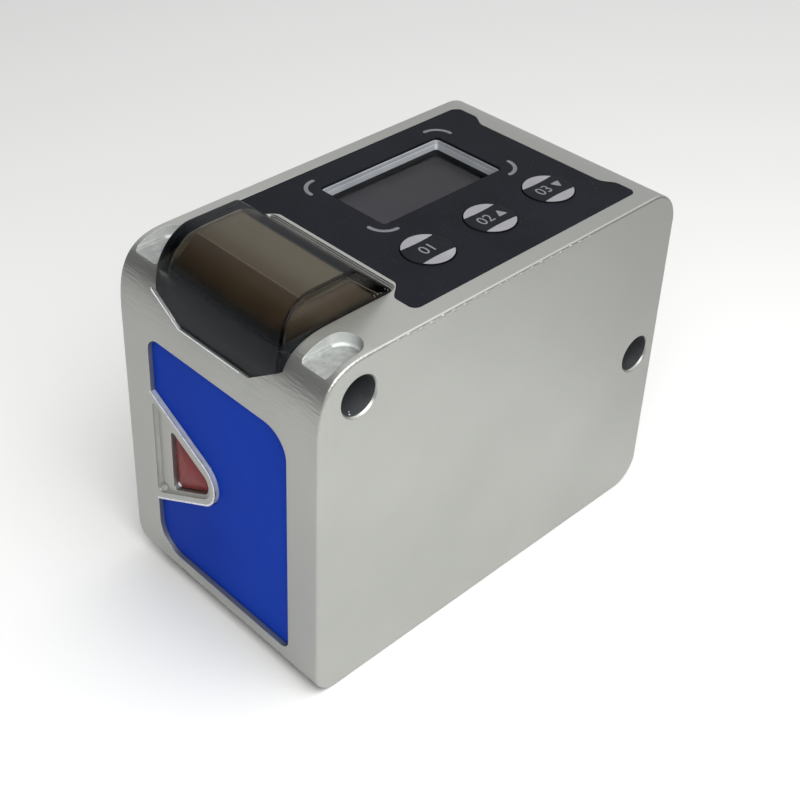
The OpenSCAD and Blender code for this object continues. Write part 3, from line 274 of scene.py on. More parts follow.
finishes = {
    # name: the two tones it drifts between, how fine the drift is, roughness, the bump as scale of the grain,
    # scale and share of the ripple and depth in micrometres, then what else the finish has. A shade is painted
    # shade:
    # a colour that holds until its fade has risen, or a band where the fade rises; a matt is duller until it has
    # risen.
    "castSilver": ((0.41, 0.415, 0.395), (0.375, 0.38, 0.36), 60, 0.38, (5200, 260, 1.6, 6), {
        "metallic": 0.85, "wear": (0.00010, (0.50, 0.505, 0.49)),
        "streak": (0.00005, fade(52, 6, deep=-1, up=1)),
        # painted shade: the cast darkens towards the top and the rear
        "shades": [((0.30, 0.305, 0.29), fade(-62, 46, deep=-1, up=-1))]}),
    "slotWall": ((0.56, 0.58, 0.57), (0.44, 0.455, 0.445), 900, 0.42, (2400, 900, 1.2, 40), {
        # painted shade: the slot walls darken towards the right slot's outer side
        "metallic": 0.2, "shades": [((0.16, 0.165, 0.162), fade(-13.9, 2, right=-1))]}),
    "roughCast": ((0.31, 0.322, 0.312), (0.215, 0.225, 0.22), 1300, 0.5, (2400, 1100, 1.6, 70), {
        "metallic": 0.2}),
    "mattCast": ((0.44, 0.445, 0.425), (0.38, 0.385, 0.365), 300, 0.55, (5200, 700, 1.6, 10), {
        # painted shade: the notch floor darkens towards its left wall, the shadow of the step
        "metallic": 0.5, "shades": [((0.14, 0.143, 0.135), fade(-11.6, 1.7, right=1))]}),
    # machined metal painted near white: a painted highlight
    "machinedPaintedHighlight": ((0.90, 0.91, 0.97), (0.68, 0.69, 0.75), 1600, 0.30, (5000, 1500, 1.2, 10), {
        "metallic": 0.2}),
    # painted sheen: a light bluish silver for the notch's outer flank
    "flankPaintedSheen": ((0.50, 0.525, 0.60), (0.36, 0.38, 0.44), 1600, 0.35, (5000, 1500, 1.2, 10), {
        "metallic": 0.2}),
    # painted shade: the pane's recess walls, dark and tinted blue
    "recessWallPaintedShade": ((0.035, 0.05, 0.14), (0.05, 0.07, 0.17), 500, 0.45, (5000, 600, 1.0, 6), {
        "metallic": 0.2}),
    # painted shade: the bores' walls are dark, and darker away from the side faces
    "boredMetalPaintedShade": ((0.09, 0.096, 0.103), (0.064, 0.069, 0.075), 700, 0.4, (4000, 1200, 1.2, 20), {
        "metallic": 0.35, "shades": [((0.012, 0.013, 0.016), fade(6.5, 8, across=1))]}),
    # dark nicks, and painted shade on the hood steps' front-facing walls
    "nicksAndPaintedShade": ((0.10, 0.10, 0.10), (0.30, 0.30, 0.29), 2500, 0.5, (6000, 1500, 1.0, 10), {"metallic": 0.6}),
    "smokedPlastic": ((0.36, 0.32, 0.26), (0.32, 0.285, 0.235), 90, 0.14, (1500, 200, 1.0, 0.2), {
        "transmission": 1.0, "ior": 1.26, "specularTint": (0.60, 0.76, 1.0),
        "matts": [(0.22, fade(20, 8, deep=1, up=1.2)), (0.24, fade(-16.2, 2.6, right=1, up=-0.1667))],
        # painted shade: darker towards the front and foot, a near-black band along the right ridge, and darker
        # grey-green at the left end
        "shades": [((0.022, 0.026, 0.034), fade(19.5, 7.5, deep=1, up=1.2)),
                   ((0.01, 0.01, 0.01), fade(15.5, 0.5, right=1, up=0.1667), "band"),
                   ((0.22, 0.235, 0.22), fade(-16.2, 2.2, right=1, up=-0.1667))]}),
    # painted shade: near black on the hood's right ridge
    "ridgePaintedShade": ((0.012, 0.011, 0.010), (0.02, 0.018, 0.016), 200, 0.14, (1500, 200, 1.0, 0.2), {
        "transmission": 1.0, "ior": 1.2, "specular": 0.35}),
    # a lighter copy of the smoked plastic for the hood's flat sides, painted light, with painted shade at their
    # top
    "smokedSidePaintedLightAndShade": ((0.50, 0.46, 0.40), (0.44, 0.40, 0.35), 90, 0.10, (1500, 200, 1.0, 0.2), {
        "transmission": 1.0, "ior": 1.36, "specularTint": (1.0, 0.95, 0.86),
        "shades": [((0.03, 0.027, 0.024), fade(-43.8, 1, up=-1))]}),
    # black plastic, also painted shade on the light guide's tail and foot
    "blackPlasticAndPaintedShade": ((0.012, 0.012, 0.014), (0.02, 0.02, 0.023), 300, 0.5, (7000, 700, 0.5, 12), {}),
    "milkyGuide": ((0.65, 0.70, 0.66), (0.56, 0.60, 0.565), 180, 0.5, (3000, 500, 0.5, 4), {
        # painted shade: the guide's top darkens towards its front
        "specular": 0.1, "shades": [((0.44, 0.42, 0.38), fade(-20.9, 3.4, deep=1))]}),
    # painted shade: a darker brown copy of the milky guide for its front bevel and ends, going black low down
    "guideBrownPaintedShade": ((0.34, 0.295, 0.24), (0.28, 0.24, 0.195), 250, 0.5, (3000, 500, 0.5, 4), {
        "specular": 0.1, "shades": [((0.05, 0.042, 0.034), fade(31.2, 5, deep=0.3, up=1))]}),
    "blueFilter": ((0.002, 0.032, 0.35), (0.005, 0.048, 0.44), 55, 0.34, (4000, 180, 1.5, 2), {
        "specular": 0.02}),
    "redFilter": ((0.25, 0.030, 0.032), (0.18, 0.025, 0.026), 500, 0.22, (3000, 300, 1.0, 2), {
        "specular": 0.12}),
    "printedFilm": ((0.008, 0.0088, 0.0115), (0.011, 0.012, 0.016), 160, 0.38, (9000, 300, 1.2, 3), {
        "dust": 0.14, "specular": 0.02}),
    "bezelSilver": ((0.31, 0.325, 0.345), (0.23, 0.24, 0.26), 260, 0.48, (6000, 700, 0.8, 3), {
        "metallic": 0.35}),
    "segmentGrey": ((0.255, 0.255, 0.27), (0.21, 0.21, 0.225), 300, 0.4, (9000, 700, 0.8, 3), {
        "specular": 0.1}),
    "figureGrey": ((0.17, 0.175, 0.19), (0.12, 0.125, 0.135), 900, 0.4, (9000, 700, 0.8, 3), {
        "specular": 0.3}),
    "keyFilm": ((0.006, 0.007, 0.009), (0.010, 0.011, 0.013), 400, 0.38, (9000, 500, 1.0, 3), {
        "dust": 0.1, "specular": 0.04}),
    "printedGrey": ((0.15, 0.155, 0.165), (0.12, 0.125, 0.135), 700, 0.42, (9000, 900, 0.8, 2), {
        "specular": 0.1}),
    "screenGlass": ((0.74, 0.74, 0.80), (0.68, 0.68, 0.74), 80, 0.12, (1200, 90, 1.0, 0.2), {
        "transmission": 1.0, "ior": 1.18}),
    "screenCell": ((0.019, 0.0165, 0.019), (0.023, 0.019, 0.023), 70, 0.5, (6000, 400, 0.6, 0.4), {
        # painted shade: the cell darkens towards the rear
        "specular": 0.2, "shades": [((0.001, 0.0013, 0.0016), fade(-15, 19, deep=-1))]}),
    "lensGlass": ((0.93, 0.95, 0.97), (0.90, 0.92, 0.95), 80, 0.02, (1200, 150, 1.0, 0.3), {
        "transmission": 1.0, "ior": 1.52}),
    # white plastic, also a painted highlight along the light guide's crease
    "whitePlasticAndPaintedHighlight": ((0.72, 0.72, 0.69), (0.66, 0.66, 0.63), 300, 0.5, (6000, 700, 0.5, 6), {}),
    "boardGreen": ((0.012, 0.085, 0.035), (0.02, 0.11, 0.05), 500, 0.35, (5000, 1200, 1.0, 8), {"coat": 0.4}),
    "chipBlack": ((0.01, 0.01, 0.011), (0.016, 0.016, 0.017), 600, 0.45, (8000, 900, 0.5, 6), {}),
    "screwSteel": ((0.55, 0.55, 0.53), (0.48, 0.48, 0.46), 700, 0.32, (6000, 900, 0.7, 4), {
        "metallic": 1.0, "wear": (0.00008, (0.75, 0.75, 0.73))}),
    "turnedBrass": ((0.62, 0.42, 0.16), (0.55, 0.37, 0.14), 500, 0.28, (6000, 1500, 0.6, 4), {
        "metallic": 1.0}),
    "goldPlate": ((0.75, 0.53, 0.20), (0.70, 0.49, 0.18), 500, 0.22, (6000, 900, 0.6, 2), {"metallic": 1.0}),
    "sealRubber": ((0.016, 0.016, 0.016), (0.024, 0.024, 0.024), 400, 0.7, (6000, 600, 0.5, 10), {}),
    "glandPlastic": ((0.018, 0.018, 0.02), (0.026, 0.026, 0.028), 300, 0.45, (6000, 600, 0.5, 10), {}),
}
dustColor = (0.09, 0.09, 0.095)
steadyRoughness, driftingRoughness = 0.92, 0.16

plainSockets = {
    # shader socket: key in the finish, value where the finish has none
    "Metallic": ("metallic", 0.0), "Transmission Weight": ("transmission", 0.0), "IOR": ("ior", 1.5),
    "Coat Weight": ("coat", 0.0), "Specular IOR Level": ("specular", 0.5),
}


def buildMaterial(name, color, tint, mottle, roughness, bump, more):
    material = bpy.data.materials.new(name)
    material.use_nodes = True
    tree = material.node_tree
    shader = tree.nodes["Principled BSDF"]
    drift = placeGroup(tree, mottleGroup, Color=(*color, 1), Tint=(*tint, 1), Scale=mottle)
    color = drift["Color"]
    steady, drifting = roughness * steadyRoughness, roughness * driftingRoughness
    rough = worked(tree, "MULTIPLY_ADD", drift["Mask"], drifting, steady)
    grain, ripple, rippleShare, depth = bump
    height = placeGroup(tree, grainGroup, Scale=grain, RippleScale=ripple, Ripple=rippleShare)["Height"]
    relief = {"Height": height, "Distance": depth * 0.001 * mm}
    if "wear" in more:
        reach, bright = more["wear"]
        edges = placeGroup(tree, wearGroup, Reach=reach)
        color = blended(tree, edges["Mask"], color, bright)
        relief["Normal"] = edges["Normal"]
    normal = addNode(tree, "Bump", relief).outputs["Normal"]
    if "dust" in more:
        color = blended(tree, placeGroup(tree, dustGroup, Share=more["dust"])["Mask"], color, dustColor)
    # painted shade: colours placed by object coordinates
    for shade, place, *band in more.get("shades", ()):
        mask = placeGroup(tree, fadeGroup, **place)["Mask"]
        rest = worked(tree, "SUBTRACT", 1.0, mask)
        if band:
            # 4 m (1 - m), which rises and falls again
            rest = worked(tree, "MULTIPLY", worked(tree, "MULTIPLY", mask, 4.0), rest)
        color = blended(tree, rest, color, shade)
    if "streak" in more:
        # the streaks fade in on the brow, where the casting was dressed
        depth, place = more["streak"]
        mask = placeGroup(tree, fadeGroup, **place)["Mask"]
        height = worked(tree, "MULTIPLY", placeGroup(tree, streakGroup)["Height"], mask)
        relief = {"Height": height, "Distance": depth, "Normal": normal}
        normal = addNode(tree, "Bump", relief).outputs["Normal"]
    for matt, place in more.get("matts", ()):
        rest = worked(tree, "SUBTRACT", 1.0, placeGroup(tree, fadeGroup, **place)["Mask"])
        rough = worked(tree, "ADD", rough, worked(tree, "MULTIPLY", rest, matt))
    for socket, (key, usual) in plainSockets.items():
        shader.inputs[socket].default_value = more.get(key, usual)
    shader.inputs["Specular Tint"].default_value = (*more.get("specularTint", (1.0, 1.0, 1.0)), 1)
    for socket, source in (("Base Color", color), ("Roughness", rough), ("Normal", normal)):
        tree.links.new(source, shader.inputs[socket])
    return material


materials = {name: buildMaterial(name, *finish) for name, finish in finishes.items()}

nodeFinish = {
    "castSilver": "housing side_cover",
    "sealRubber": "cover_seal gland_seal",
    "screwSteel": "cover_screws key_switches panel_screws optics_screws board_screws gland_nut",
    "smokedPlastic": "indicator_hood",
    "blackPlasticAndPaintedShade": "indicator_frame optics_block",
    "milkyGuide": "light_guide",
    "boardGreen": "indicator_board panel_board laser_board sensor_board main_board",
    "whitePlasticAndPaintedHighlight": "indicator_lamps display_holder cable_socket",
    "blueFilter": "front_window",
    "redFilter": "emitter_window",
    "printedFilm": "control_panel",
    "screenGlass": "display_glass",
    "screenCell": "display_cell",
    "keyFilm": "set_button select_button mode_button",
    "lensGlass": "receiver_lens collimator_lens",
    "turnedBrass": "laser_barrel",
    "goldPlate": "laser_diode",
    "chipBlack": "image_sensor processor_chip power_parts",
    "glandPlastic": "cable_gland",
}

for finishName, nodeNames in nodeFinish.items():
    for nodeName in nodeNames.split():
        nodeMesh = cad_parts[nodeName].data
        nodeMesh.materials.clear()
        nodeMesh.materials.append(materials[finishName])
print("materials built:", len(materials))


# making pieces

def at(x, y, z):
    # millimetres, with y behind the front face, to metres in the frame
    return np.stack(np.broadcast_arrays(x, np.add(y, frontY), z), axis=-1) * mm


def frontView(points, y):
    # points of x and z, seen from the front, at a depth
    points = np.asarray(points, float)
    return at(points[..., 0], y, points[..., 1])


def loft(name, rings, closed=True):
    # rings of points joined by quads, the first and last closed by a face, or else joined to each other
    if not closed:
        rings = np.concatenate([rings, rings[:1]])
    rows, around = rings.shape[:2]
    row, column = np.meshgrid(np.arange(rows - 1), np.arange(around), indexing="ij")
    beside, first, second = (column + 1) % around, row * around, (row + 1) * around
    quads = [first + column, first + beside, second + beside, second + column]
    faces = np.stack(quads, axis=-1).reshape(-1, 4).tolist()
    if closed:
        faces.append(list(range(around))[::-1])
        faces.append([(rows - 1) * around + i for i in range(around)])
    mesh = bpy.data.meshes.new(name)
    mesh.from_pydata(rings.reshape(-1, 3).tolist(), [], faces)
    tidyMesh(mesh)
    return mesh


def tidyMesh(mesh, apart=0.0000005):
    # points closer than a distance become one, and the faces point outwards
    form = bmesh.new()
    form.from_mesh(mesh)
    bmesh.ops.remove_doubles(form, verts=form.verts, dist=apart)
    bmesh.ops.dissolve_degenerate(form, edges=form.edges, dist=apart)
    bmesh.ops.recalc_face_normals(form, faces=form.faces)
    form.to_mesh(mesh)
    form.free()


def linkPiece(name, mesh, finish, body=mainBody, replaced=(), degrees=32, bevel=0.0):
    # a mesh becomes a piece: smooth but for edges sharper than the angle, and bevel is its broken edges' width
    mesh.polygons.foreach_set("use_smooth", np.ones(len(mesh.polygons), dtype=bool))
    mesh.set_sharp_from_angle(angle=math.radians(degrees))
    mesh.update()
    mesh.materials.clear()
    mesh.materials.append(materials[finish])
    piece = addObject(name, mesh)
    if bevel:
        edge = piece.modifiers.new("brokenEdge", "BEVEL")
        edge.width, edge.segments, edge.harden_normals = bevel * mm, 3, True
        edge.limit_method, edge.angle_limit = "ANGLE", math.radians(degrees)
    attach(piece, body)
    if replaced:
        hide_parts(*replaced)
    return piece


def faceSpots(mesh):
    # for every face its middle's x, y, z in millimetres, y behind the front face, and its normal's nx, ny, nz
    found = []
    for key in ("center", "normal"):
        values = np.empty(len(mesh.polygons) * 3, dtype=np.float32)
        mesh.polygons.foreach_get(key, values)
        found.append(values.reshape(-1, 3))
    return (*(found[0] / mm - np.array([0, frontY, 0])).T, *found[1].T)


def finishFaces(piece, finish, chosen):
    # the chosen faces take another material of their own
    piece.data.materials.append(materials[finish])
    index = np.empty(len(piece.data.polygons), dtype=np.int32)
    piece.data.polygons.foreach_get("material_index", index)
    index[chosen] = len(piece.data.materials) - 1
    piece.data.polygons.foreach_set("material_index", index)
    piece.data.update()


def evaluated(item):
    # the object as its modifiers or its font leave it, as a mesh
    bpy.context.view_layer.update()
    return bpy.data.meshes.new_from_object(item.evaluated_get(bpy.context.evaluated_depsgraph_get()))


def carve(mesh, cutters, operation="DIFFERENCE"):
    # a mesh with other closed meshes cut out of it, or joined to it
    block = addObject("carvedBlock", mesh)
    tools = [addObject("carvingTool", cutter) for cutter in cutters]
    for tool in tools:
        cut = block.modifiers.new("cut", "BOOLEAN")
        cut.operation, cut.solver, cut.object = operation, "EXACT", tool
    carved = evaluated(block)
    for item in [block, *tools]:
        bpy.data.objects.remove(item)
    tidyMesh(carved, 0.000001)
    return carved


def joinMeshes(name, meshes):
    form = bmesh.new()
    for mesh in meshes:
        form.from_mesh(mesh)
    joined = bpy.data.meshes.new(name)
    form.to_mesh(joined)
    form.free()
    return joined


def quarter(steps, end=90):
    # angles from 0 up to the end, in radians
    return np.radians(np.linspace(0, end, steps))


def cornerArc(center, radius, start, end, steps):
    angle = np.radians(np.linspace(start, end, steps))
    return np.stack([center[0] + radius * np.cos(angle), center[1] + radius * np.sin(angle)], axis=-1)


def circle(center, radius, steps):
    return cornerArc(center, radius, 0, 360, steps + 1)[:-1]


def roundedRing(x0, y0, x1, y1, radius, steps=10):
    # a rounded rectangle in the plane, anticlockwise
    corners = [((x1 - radius, y0 + radius), -90), ((x1 - radius, y1 - radius), 0),
               ((x0 + radius, y1 - radius), 90), ((x0 + radius, y0 + radius), 180)]
    return np.concatenate([cornerArc(c, radius, turn, turn + 90, steps) for c, turn in corners])


def roundedPolygon(points, radii, steps=10):
    # a polygon whose corners are arcs that touch both edges
    points = np.asarray(points, float)
    parts = []
    for i, (p, radius) in enumerate(zip(points, radii)):
        u = points[i - 1] - p
        v = points[(i + 1) % len(points)] - p
        u, v = u / np.linalg.norm(u), v / np.linalg.norm(v)
        half = math.acos(float(np.dot(u, v))) / 2
        middle = p + (u + v) / np.linalg.norm(u + v) * radius / math.sin(half)
        start = p + u * radius / math.tan(half) - middle
        end = p + v * radius / math.tan(half) - middle
        a0 = math.atan2(start[1], start[0])
        turn = (math.atan2(end[1], end[0]) - a0 + math.pi) % (2 * math.pi) - math.pi
        parts.append(cornerArc(middle, radius, math.degrees(a0), math.degrees(a0 + turn), steps))
    return np.concatenate(parts)


def movedOut(points, distance):
    # an anticlockwise polygon whose every edge moves outwards by a distance
    points = np.asarray(points, float)
    edges = points - np.roll(points, 1, axis=0), np.roll(points, -1, axis=0) - points
    normals = [np.stack([e[:, 1], -e[:, 0]], axis=-1) / np.linalg.norm(e, axis=1)[:, None] for e in edges]
    sharpness = 1 + np.sum(normals[0] * normals[1], axis=1)
    return points + distance * (normals[0] + normals[1]) / sharpness[:, None]


def boxOutline(x0, y0, x1, y1):
    return np.array([(x0, y0), (x1, y0), (x1, y1), (x0, y1)], float)


def prism(name, outline, low, high, along="z"):
    # an outline carried straight between two levels along an axis; it holds the other two coordinates in order
    first, second = np.asarray(outline, float).T
    levels = np.array([[low], [high]], float)
    places = {"z": (first, second, levels), "y": (first, levels, second), "x": (levels, first, second)}
    return loft(name, at(*places[along]))


def turnedRings(profile, place, axis, steps=72):
    # a profile of radius and height carried round an axis
    profile = np.asarray(profile, float)
    angle = np.linspace(0, 2 * math.pi, steps, endpoint=False)
    across, upright = profile[:, :1] * np.cos(angle), profile[:, :1] * np.sin(angle)
    along = profile[:, 1:] + 0 * angle
    parts = {"z": (across, upright, along), "y": (across, along, upright), "x": (along, across, upright)}
    return at(*(start + part for start, part in zip(place, parts[axis])))


def turned(name, profile, place, axis, steps=72):
    return loft(name, turnedRings(profile, place, axis, steps))


def rod(name, radius, low, high, place, axis, steps):
    return turned(name, [(0.01, low), (radius, low), (radius, high), (0.01, high)], place, axis, steps)


print("tools ready")


# the cast housing

castShape = {
    "width": 30.0, "length": 51.3, "height": 40.3, "edge": 0.3, "edgeSteps": 6, "arcSteps": 18,
    "footFront": 2.7, "footRear": 3.4, "topRear": 4.2, "footLeft": 5.0,
    "browLength": 7.65, "browHeight": 9.5, "browPower": 3.5, "browSteps": 90,
    "wall": 1.6, "frontWall": 2.4, "coverSide": 3.2, "roofBack": 16.15, "roof": 37.4, "ceiling": 38.7,
    "bores": ((5.0, 36.05), (47.9, 19.85)), "boreRadius": 2.15, "boreRim": 0.2, "boss": 3.05,
    "slotX": 12.4, "slotRadius": 1.8, "slotEnd": 7.1, "slotDepth": 1.3, "slotFillet": 0.4,
    "hoodHalf": 9.25, "hoodBack": 14.6, "hoodFloor": 39.1, "hoodCorner": 0.9, "well": (7.4, 8.05, 13.35, 36.9),
    "chinFoot": 35.1, "chinHalf": 5.2, "chinTop": 37.7, "chinBack": 1.95,
    "steps": 5, "stepWidth": 0.15, "stepHeight": 0.15, "stepFront": 7.3,
    "gap": 0.05, "cableUp": 9.2, "cableRadius": 3.55, "cableFrom": 48.7, "cableTo": 52.3, "seatFoot": 38.2,
}

windowShape = {
    "left": -10.6, "right": 10.6, "foot": 3.4, "top": 31.4, "radii": (3.3, 1.2, 3.0, 1.8), "sink": 0.5,
    "thick": 1.2, "ledge": 0.9, "axis": 17.05, "notchHeight": 14.5, "notchLength": 13.4, "tipRadius": 3.05,
    "rim": 0.8, "notchFloor": 0.45, "lensInset": 1.65, "lensLeft": 2.4, "lensLow": 0.6, "lensSink": 0.6,
    "lensThick": 0.8, "lensLedge": 0.5, "studRadius": 0.5, "studHeight": 0.2, "studFace": 0.30,
    "studPlace": (0.75, 1.8), "floorFillet": 0.43, "notchStart": 1.5,
    "beadPlace": (0.42, 0.40), "beadRadius": 0.36, "beadHeight": 0.34,
}

panelShape = {
    "left": -13.2, "right": 12.8, "front": 13.85, "back": 46.7, "thick": 0.35, "frontEar": 1.9, "rearEar": 1.0,
    "earStart": 8.2, "earBlend": 2.2, "corner": 0.9, "top": 40.3,
    "screen": (-4.8, 31.05, 9.7, 17.5, 0.5), "glassLap": 0.9, "screenDepth": 1.2,
    "keyX": 6.35, "keyYs": (22.15, 31.15, 40.15), "keyHole": 2.84,
}

coverShape = {
    "front": 3.6, "rear": 44.15, "foot": 6.4, "top": 32.1, "corner": 2.2, "thick": 1.4, "seal": 0.3,
    "ledge": 3.4, "holeCorner": 0.4, "screwInset": 1.7, "screwHead": 1.15, "screwHole": 0.65, "headDepth": 0.7,
    "bevel": 0.14,
}


def sideOutline(shape, inset):
    # seen from the side: three round corners and the brow, a superellipse from the top face to the front face
    n, length, height = shape["arcSteps"], shape["length"], shape["height"]
    footFront, footRear, topRear = shape["footFront"], shape["footRear"], shape["topRear"]
    a = np.radians(np.linspace(90, 0, shape["browSteps"]))
    power = 2 / shape["browPower"]
    browY = inset + (shape["browLength"] - inset) * (1 - np.maximum(np.cos(a), 0) ** power)
    browZ = height - inset - (shape["browHeight"] - inset) * (1 - np.maximum(np.sin(a), 0) ** power)
    return np.concatenate([
        cornerArc((footFront, footFront), footFront - inset, 180, 270, n),
        cornerArc((length - footRear, footRear), footRear - inset, 270, 360, n),
        cornerArc((length - topRear, height - topRear), topRear - inset, 0, 90, n),
        np.stack([browY, browZ], axis=-1),
    ])


def castBlock(shape):
    # the side outline carried across, drawn in round both side edges by a quarter circle
    edge, half, turn = shape["edge"], shape["width"] / 2, quarter(shape["edgeSteps"])
    inset = edge * (1 - np.sin(turn))
    x = -half + edge * (1 - np.cos(turn))
    rows = [at(xAt, *sideOutline(shape, insetAt).T) for xAt, insetAt in zip(x, inset)]
    rows += [at(-xAt, *sideOutline(shape, insetAt).T) for xAt, insetAt in zip(x[::-1], inset[::-1])]
    return loft("castHousing", np.array(rows))


def windowOutline(shape, out):
    points = movedOut(boxOutline(shape["left"], shape["foot"], shape["right"], shape["top"]), out)
    return roundedPolygon(points, [r + out for r in shape["radii"]], 14)


def notchOutline(shape, x0, out, tipRadius, footRadius, low=0.0):
    # a triangle lying on its side, its tip rounded
    tip = shape["left"] + shape["notchLength"]
    half = shape["notchHeight"] / 2 * (tip - x0) / shape["notchLength"]
    z = shape["axis"] - low
    points = movedOut([(x0, z - half), (tip, z), (x0, z + half)], out)
    return roundedPolygon(points, [footRadius, tipRadius, footRadius], 16)


def wholeNotch(shape, out):
    return notchOutline(shape, shape["left"] - shape["notchStart"], out, shape["tipRadius"] + out, 0.01)


def lensOutline(shape, out):
    inset = shape["lensInset"]
    return notchOutline(shape, shape["left"] + shape["lensLeft"] - inset, out - inset,
                        shape["tipRadius"] - inset + out, 0.5, shape["lensLow"])


def panelOutline(shape, out):
    # straight edges with an ear at each corner, whose side is a smooth step
    shoulder = shape["earStart"] + shape["earBlend"] * np.linspace(0, 1, 17)
    x = np.concatenate([-shoulder[::-1], shoulder])
    ear = np.clip((shape["earStart"] + shape["earBlend"] - np.abs(x)) / shape["earBlend"], 0, 1)
    ear = ear * ear * (3 - 2 * ear)
    front = np.stack([x, shape["front"] - out + shape["frontEar"] * ear], axis=-1)
    back = np.stack([x, shape["back"] + out - shape["rearEar"] * ear], axis=-1)[::-1]
    left, right, r = shape["left"] - out, shape["right"] + out, shape["corner"]
    y0, y1 = shape["front"] - out, shape["back"] + out
    return np.concatenate([
        cornerArc((left + r, y0 + r), r, 180, 270, 8), front, cornerArc((right - r, y0 + r), r, 270, 360, 8),
        cornerArc((right - r, y1 - r), r, 0, 90, 8), back, cornerArc((left + r, y1 - r), r, 90, 180, 8),
    ])


def screenOutline(shape, grow):
    x, y, width, length, corner = shape["screen"]
    halfX, halfY = width / 2, length / 2
    return roundedRing(x - halfX - grow, y - halfY - grow, x + halfX + grow, y + halfY + grow, corner)


def coverOutline(shape, out, corner, steps=10):
    box = boxOutline(shape["front"], shape["foot"], shape["rear"], shape["top"])
    return roundedPolygon(movedOut(box, out), [corner] * 4, steps)


def slotCutter(shape, side):
    # a round-ended slot open to the front, its sides running into its floor by a quarter circle
    floor, fillet, turn = shape["height"] - shape["slotDepth"], shape["slotFillet"], quarter(8)
    inset = np.concatenate([fillet * (1 - np.sin(turn)), [0.0]])
    level = np.concatenate([floor + fillet * (1 - np.cos(turn)), [shape["height"] + 1]])
    rows = []
    for d, z in zip(inset, level):
        r = shape["slotRadius"] - d
        end = cornerArc((0, shape["slotEnd"] - shape["slotRadius"]), r, 0, 180, 40)
        outline = np.concatenate([[(r, -2.0)], end, [(-r, -2.0)]])
        rows.append(at(side * shape["slotX"] + outline[:, 0], outline[:, 1], z))
    return loft("slotCutter", np.array(rows))


def boreCutter(shape, place):
    # a round hole across, wider at both faces by its rim
    r, rim, half = shape["boreRadius"], shape["boreRim"], shape["width"] / 2
    profile = [(0.01, -half - 0.5), (r + rim + 0.5, -half - 0.5),
               (r + rim * 0.55, -half + rim * 0.3), (r, -half + rim * 1.3)]
    profile += [(radius, -x) for radius, x in profile[::-1]]
    return turned("boreCutter", profile, (0.0, *place), "x", 96)


def innerRoom(cast):
    # the hollow, stepped down under the hood, with a boss left standing round the rear bore
    half, front, rear = cast["width"] / 2, cast["frontWall"], cast["length"] - cast["wall"]
    roof, ceiling = cast["roof"], cast["ceiling"]
    barBack, barFoot = cast["bores"][0][0] + cast["boss"], cast["bores"][0][1] - cast["boss"]
    outline = [(front, cast["wall"]), (rear, cast["wall"]), (rear, ceiling), (cast["roofBack"], ceiling),
               (cast["roofBack"], roof), (barBack, roof), (barBack, barFoot), (front, barFoot)]
    room = prism("room", outline, -half + cast["coverSide"], half - cast["wall"], "x")
    return carve(room, [rod("boss", cast["boss"], -half, half, (0.0, *cast["bores"][1]), "x", 64)])


def hoodSeat(cast):
    # the hood's seat, the steps behind it, the chin's seat and the well below
    gap, top, half, corner = cast["gap"], cast["height"], cast["hoodHalf"], cast["hoodCorner"]
    seat = np.concatenate([
        [(-half, -2.0), (half, -2.0)],
        cornerArc((half - corner, cast["hoodBack"] - corner), corner, 0, 90, 10),
        cornerArc((-half + corner, cast["hoodBack"] - corner), corner, 90, 180, 10),
    ])
    cutters = [prism("hoodSeat", seat, cast["hoodFloor"], top + 5)]
    for i in range(1, cast["steps"] + 1):
        back = cast["hoodBack"] + cast["stepWidth"] * i - gap
        ring = roundedRing(-half + gap, cast["stepFront"], half - gap, back, corner)
        cutters.append(prism("hoodStep", ring, top - cast["stepHeight"] * (cast["steps"] + 1 - i), top + 5))
    chinFoot, chinTop, chinHalf = cast["chinFoot"], cast["chinTop"], cast["chinHalf"]
    chin = movedOut([(-chinHalf, chinFoot), (chinHalf, chinFoot), (half - gap, chinTop), (half - gap, top + 5),
                     (-half + gap, top + 5), (-half + gap, chinTop)], gap)
    wellHalf, wellFront, wellBack, wellFoot = cast["well"]
    return cutters + [prism("chinSeat", chin, -2, cast["chinBack"], "y"),
                      prism("well", boxOutline(-wellHalf, wellFront, wellHalf, wellBack), wellFoot, top + 5)]


def windowSeat(cast, window):
    # the blue pane's seat and ledge round the notch, the notch's floor with its soft foot, and the lens's seat
    gap, front, left, rim = cast["gap"], cast["frontWall"], window["left"], window["rim"]
    sink, thick, ledge, floor = window["sink"], window["thick"], window["ledge"], window["notchFloor"]
    pane = carve(prism("paneSeat", windowOutline(window, gap), -1, sink + thick, "y"),
                 [prism("notchBlock", wholeNotch(window, 0.0), -2, sink + thick + 1, "y")])
    behind = carve(prism("paneBack", windowOutline(window, -ledge), sink, front + 0.5, "y"),
                   [prism("notchBlock", wholeNotch(window, ledge), 0, front + 1, "y")])
    outline = notchOutline(window, left - rim, -rim, window["tipRadius"] - rim, 0.5)
    soft, turn = window["floorFillet"], quarter(12)[1:]
    levels = np.concatenate([[-1.0, floor - soft], floor - soft + soft * np.sin(turn)])
    drawnIn = np.concatenate([[0.0, 0.0], soft * (1 - np.cos(turn))])
    rows = [frontView(movedOut(outline, -d), y) for y, d in zip(levels, drawnIn)]
    lensBack = floor + window["lensSink"] + window["lensThick"]
    return [pane, behind, loft("notchFloor", np.array(rows)),
            prism("lensSeat", lensOutline(window, gap), -1, lensBack, "y"),
            prism("lensHole", lensOutline(window, -window["lensLedge"]), 0, front + 0.5, "y")]


def panelSeat(cast, panel):
    # the film's recess, the display's opening over its wider seat, and the keys' holes
    gap, foot, top = cast["gap"], cast["seatFoot"], cast["height"] + 1
    glassTop = panel["top"] - panel["screenDepth"]
    cutters = [prism("filmSeat", panelOutline(panel, gap), panel["top"] - panel["thick"], top),
               prism("screenHole", screenOutline(panel, 0.0), foot, top),
               prism("glassSeat", screenOutline(panel, panel["glassLap"] + gap), foot, glassTop)]
    return cutters + [prism("keyHole", circle((panel["keyX"], y), panel["keyHole"], 64), foot, top)
                      for y in panel["keyYs"]]


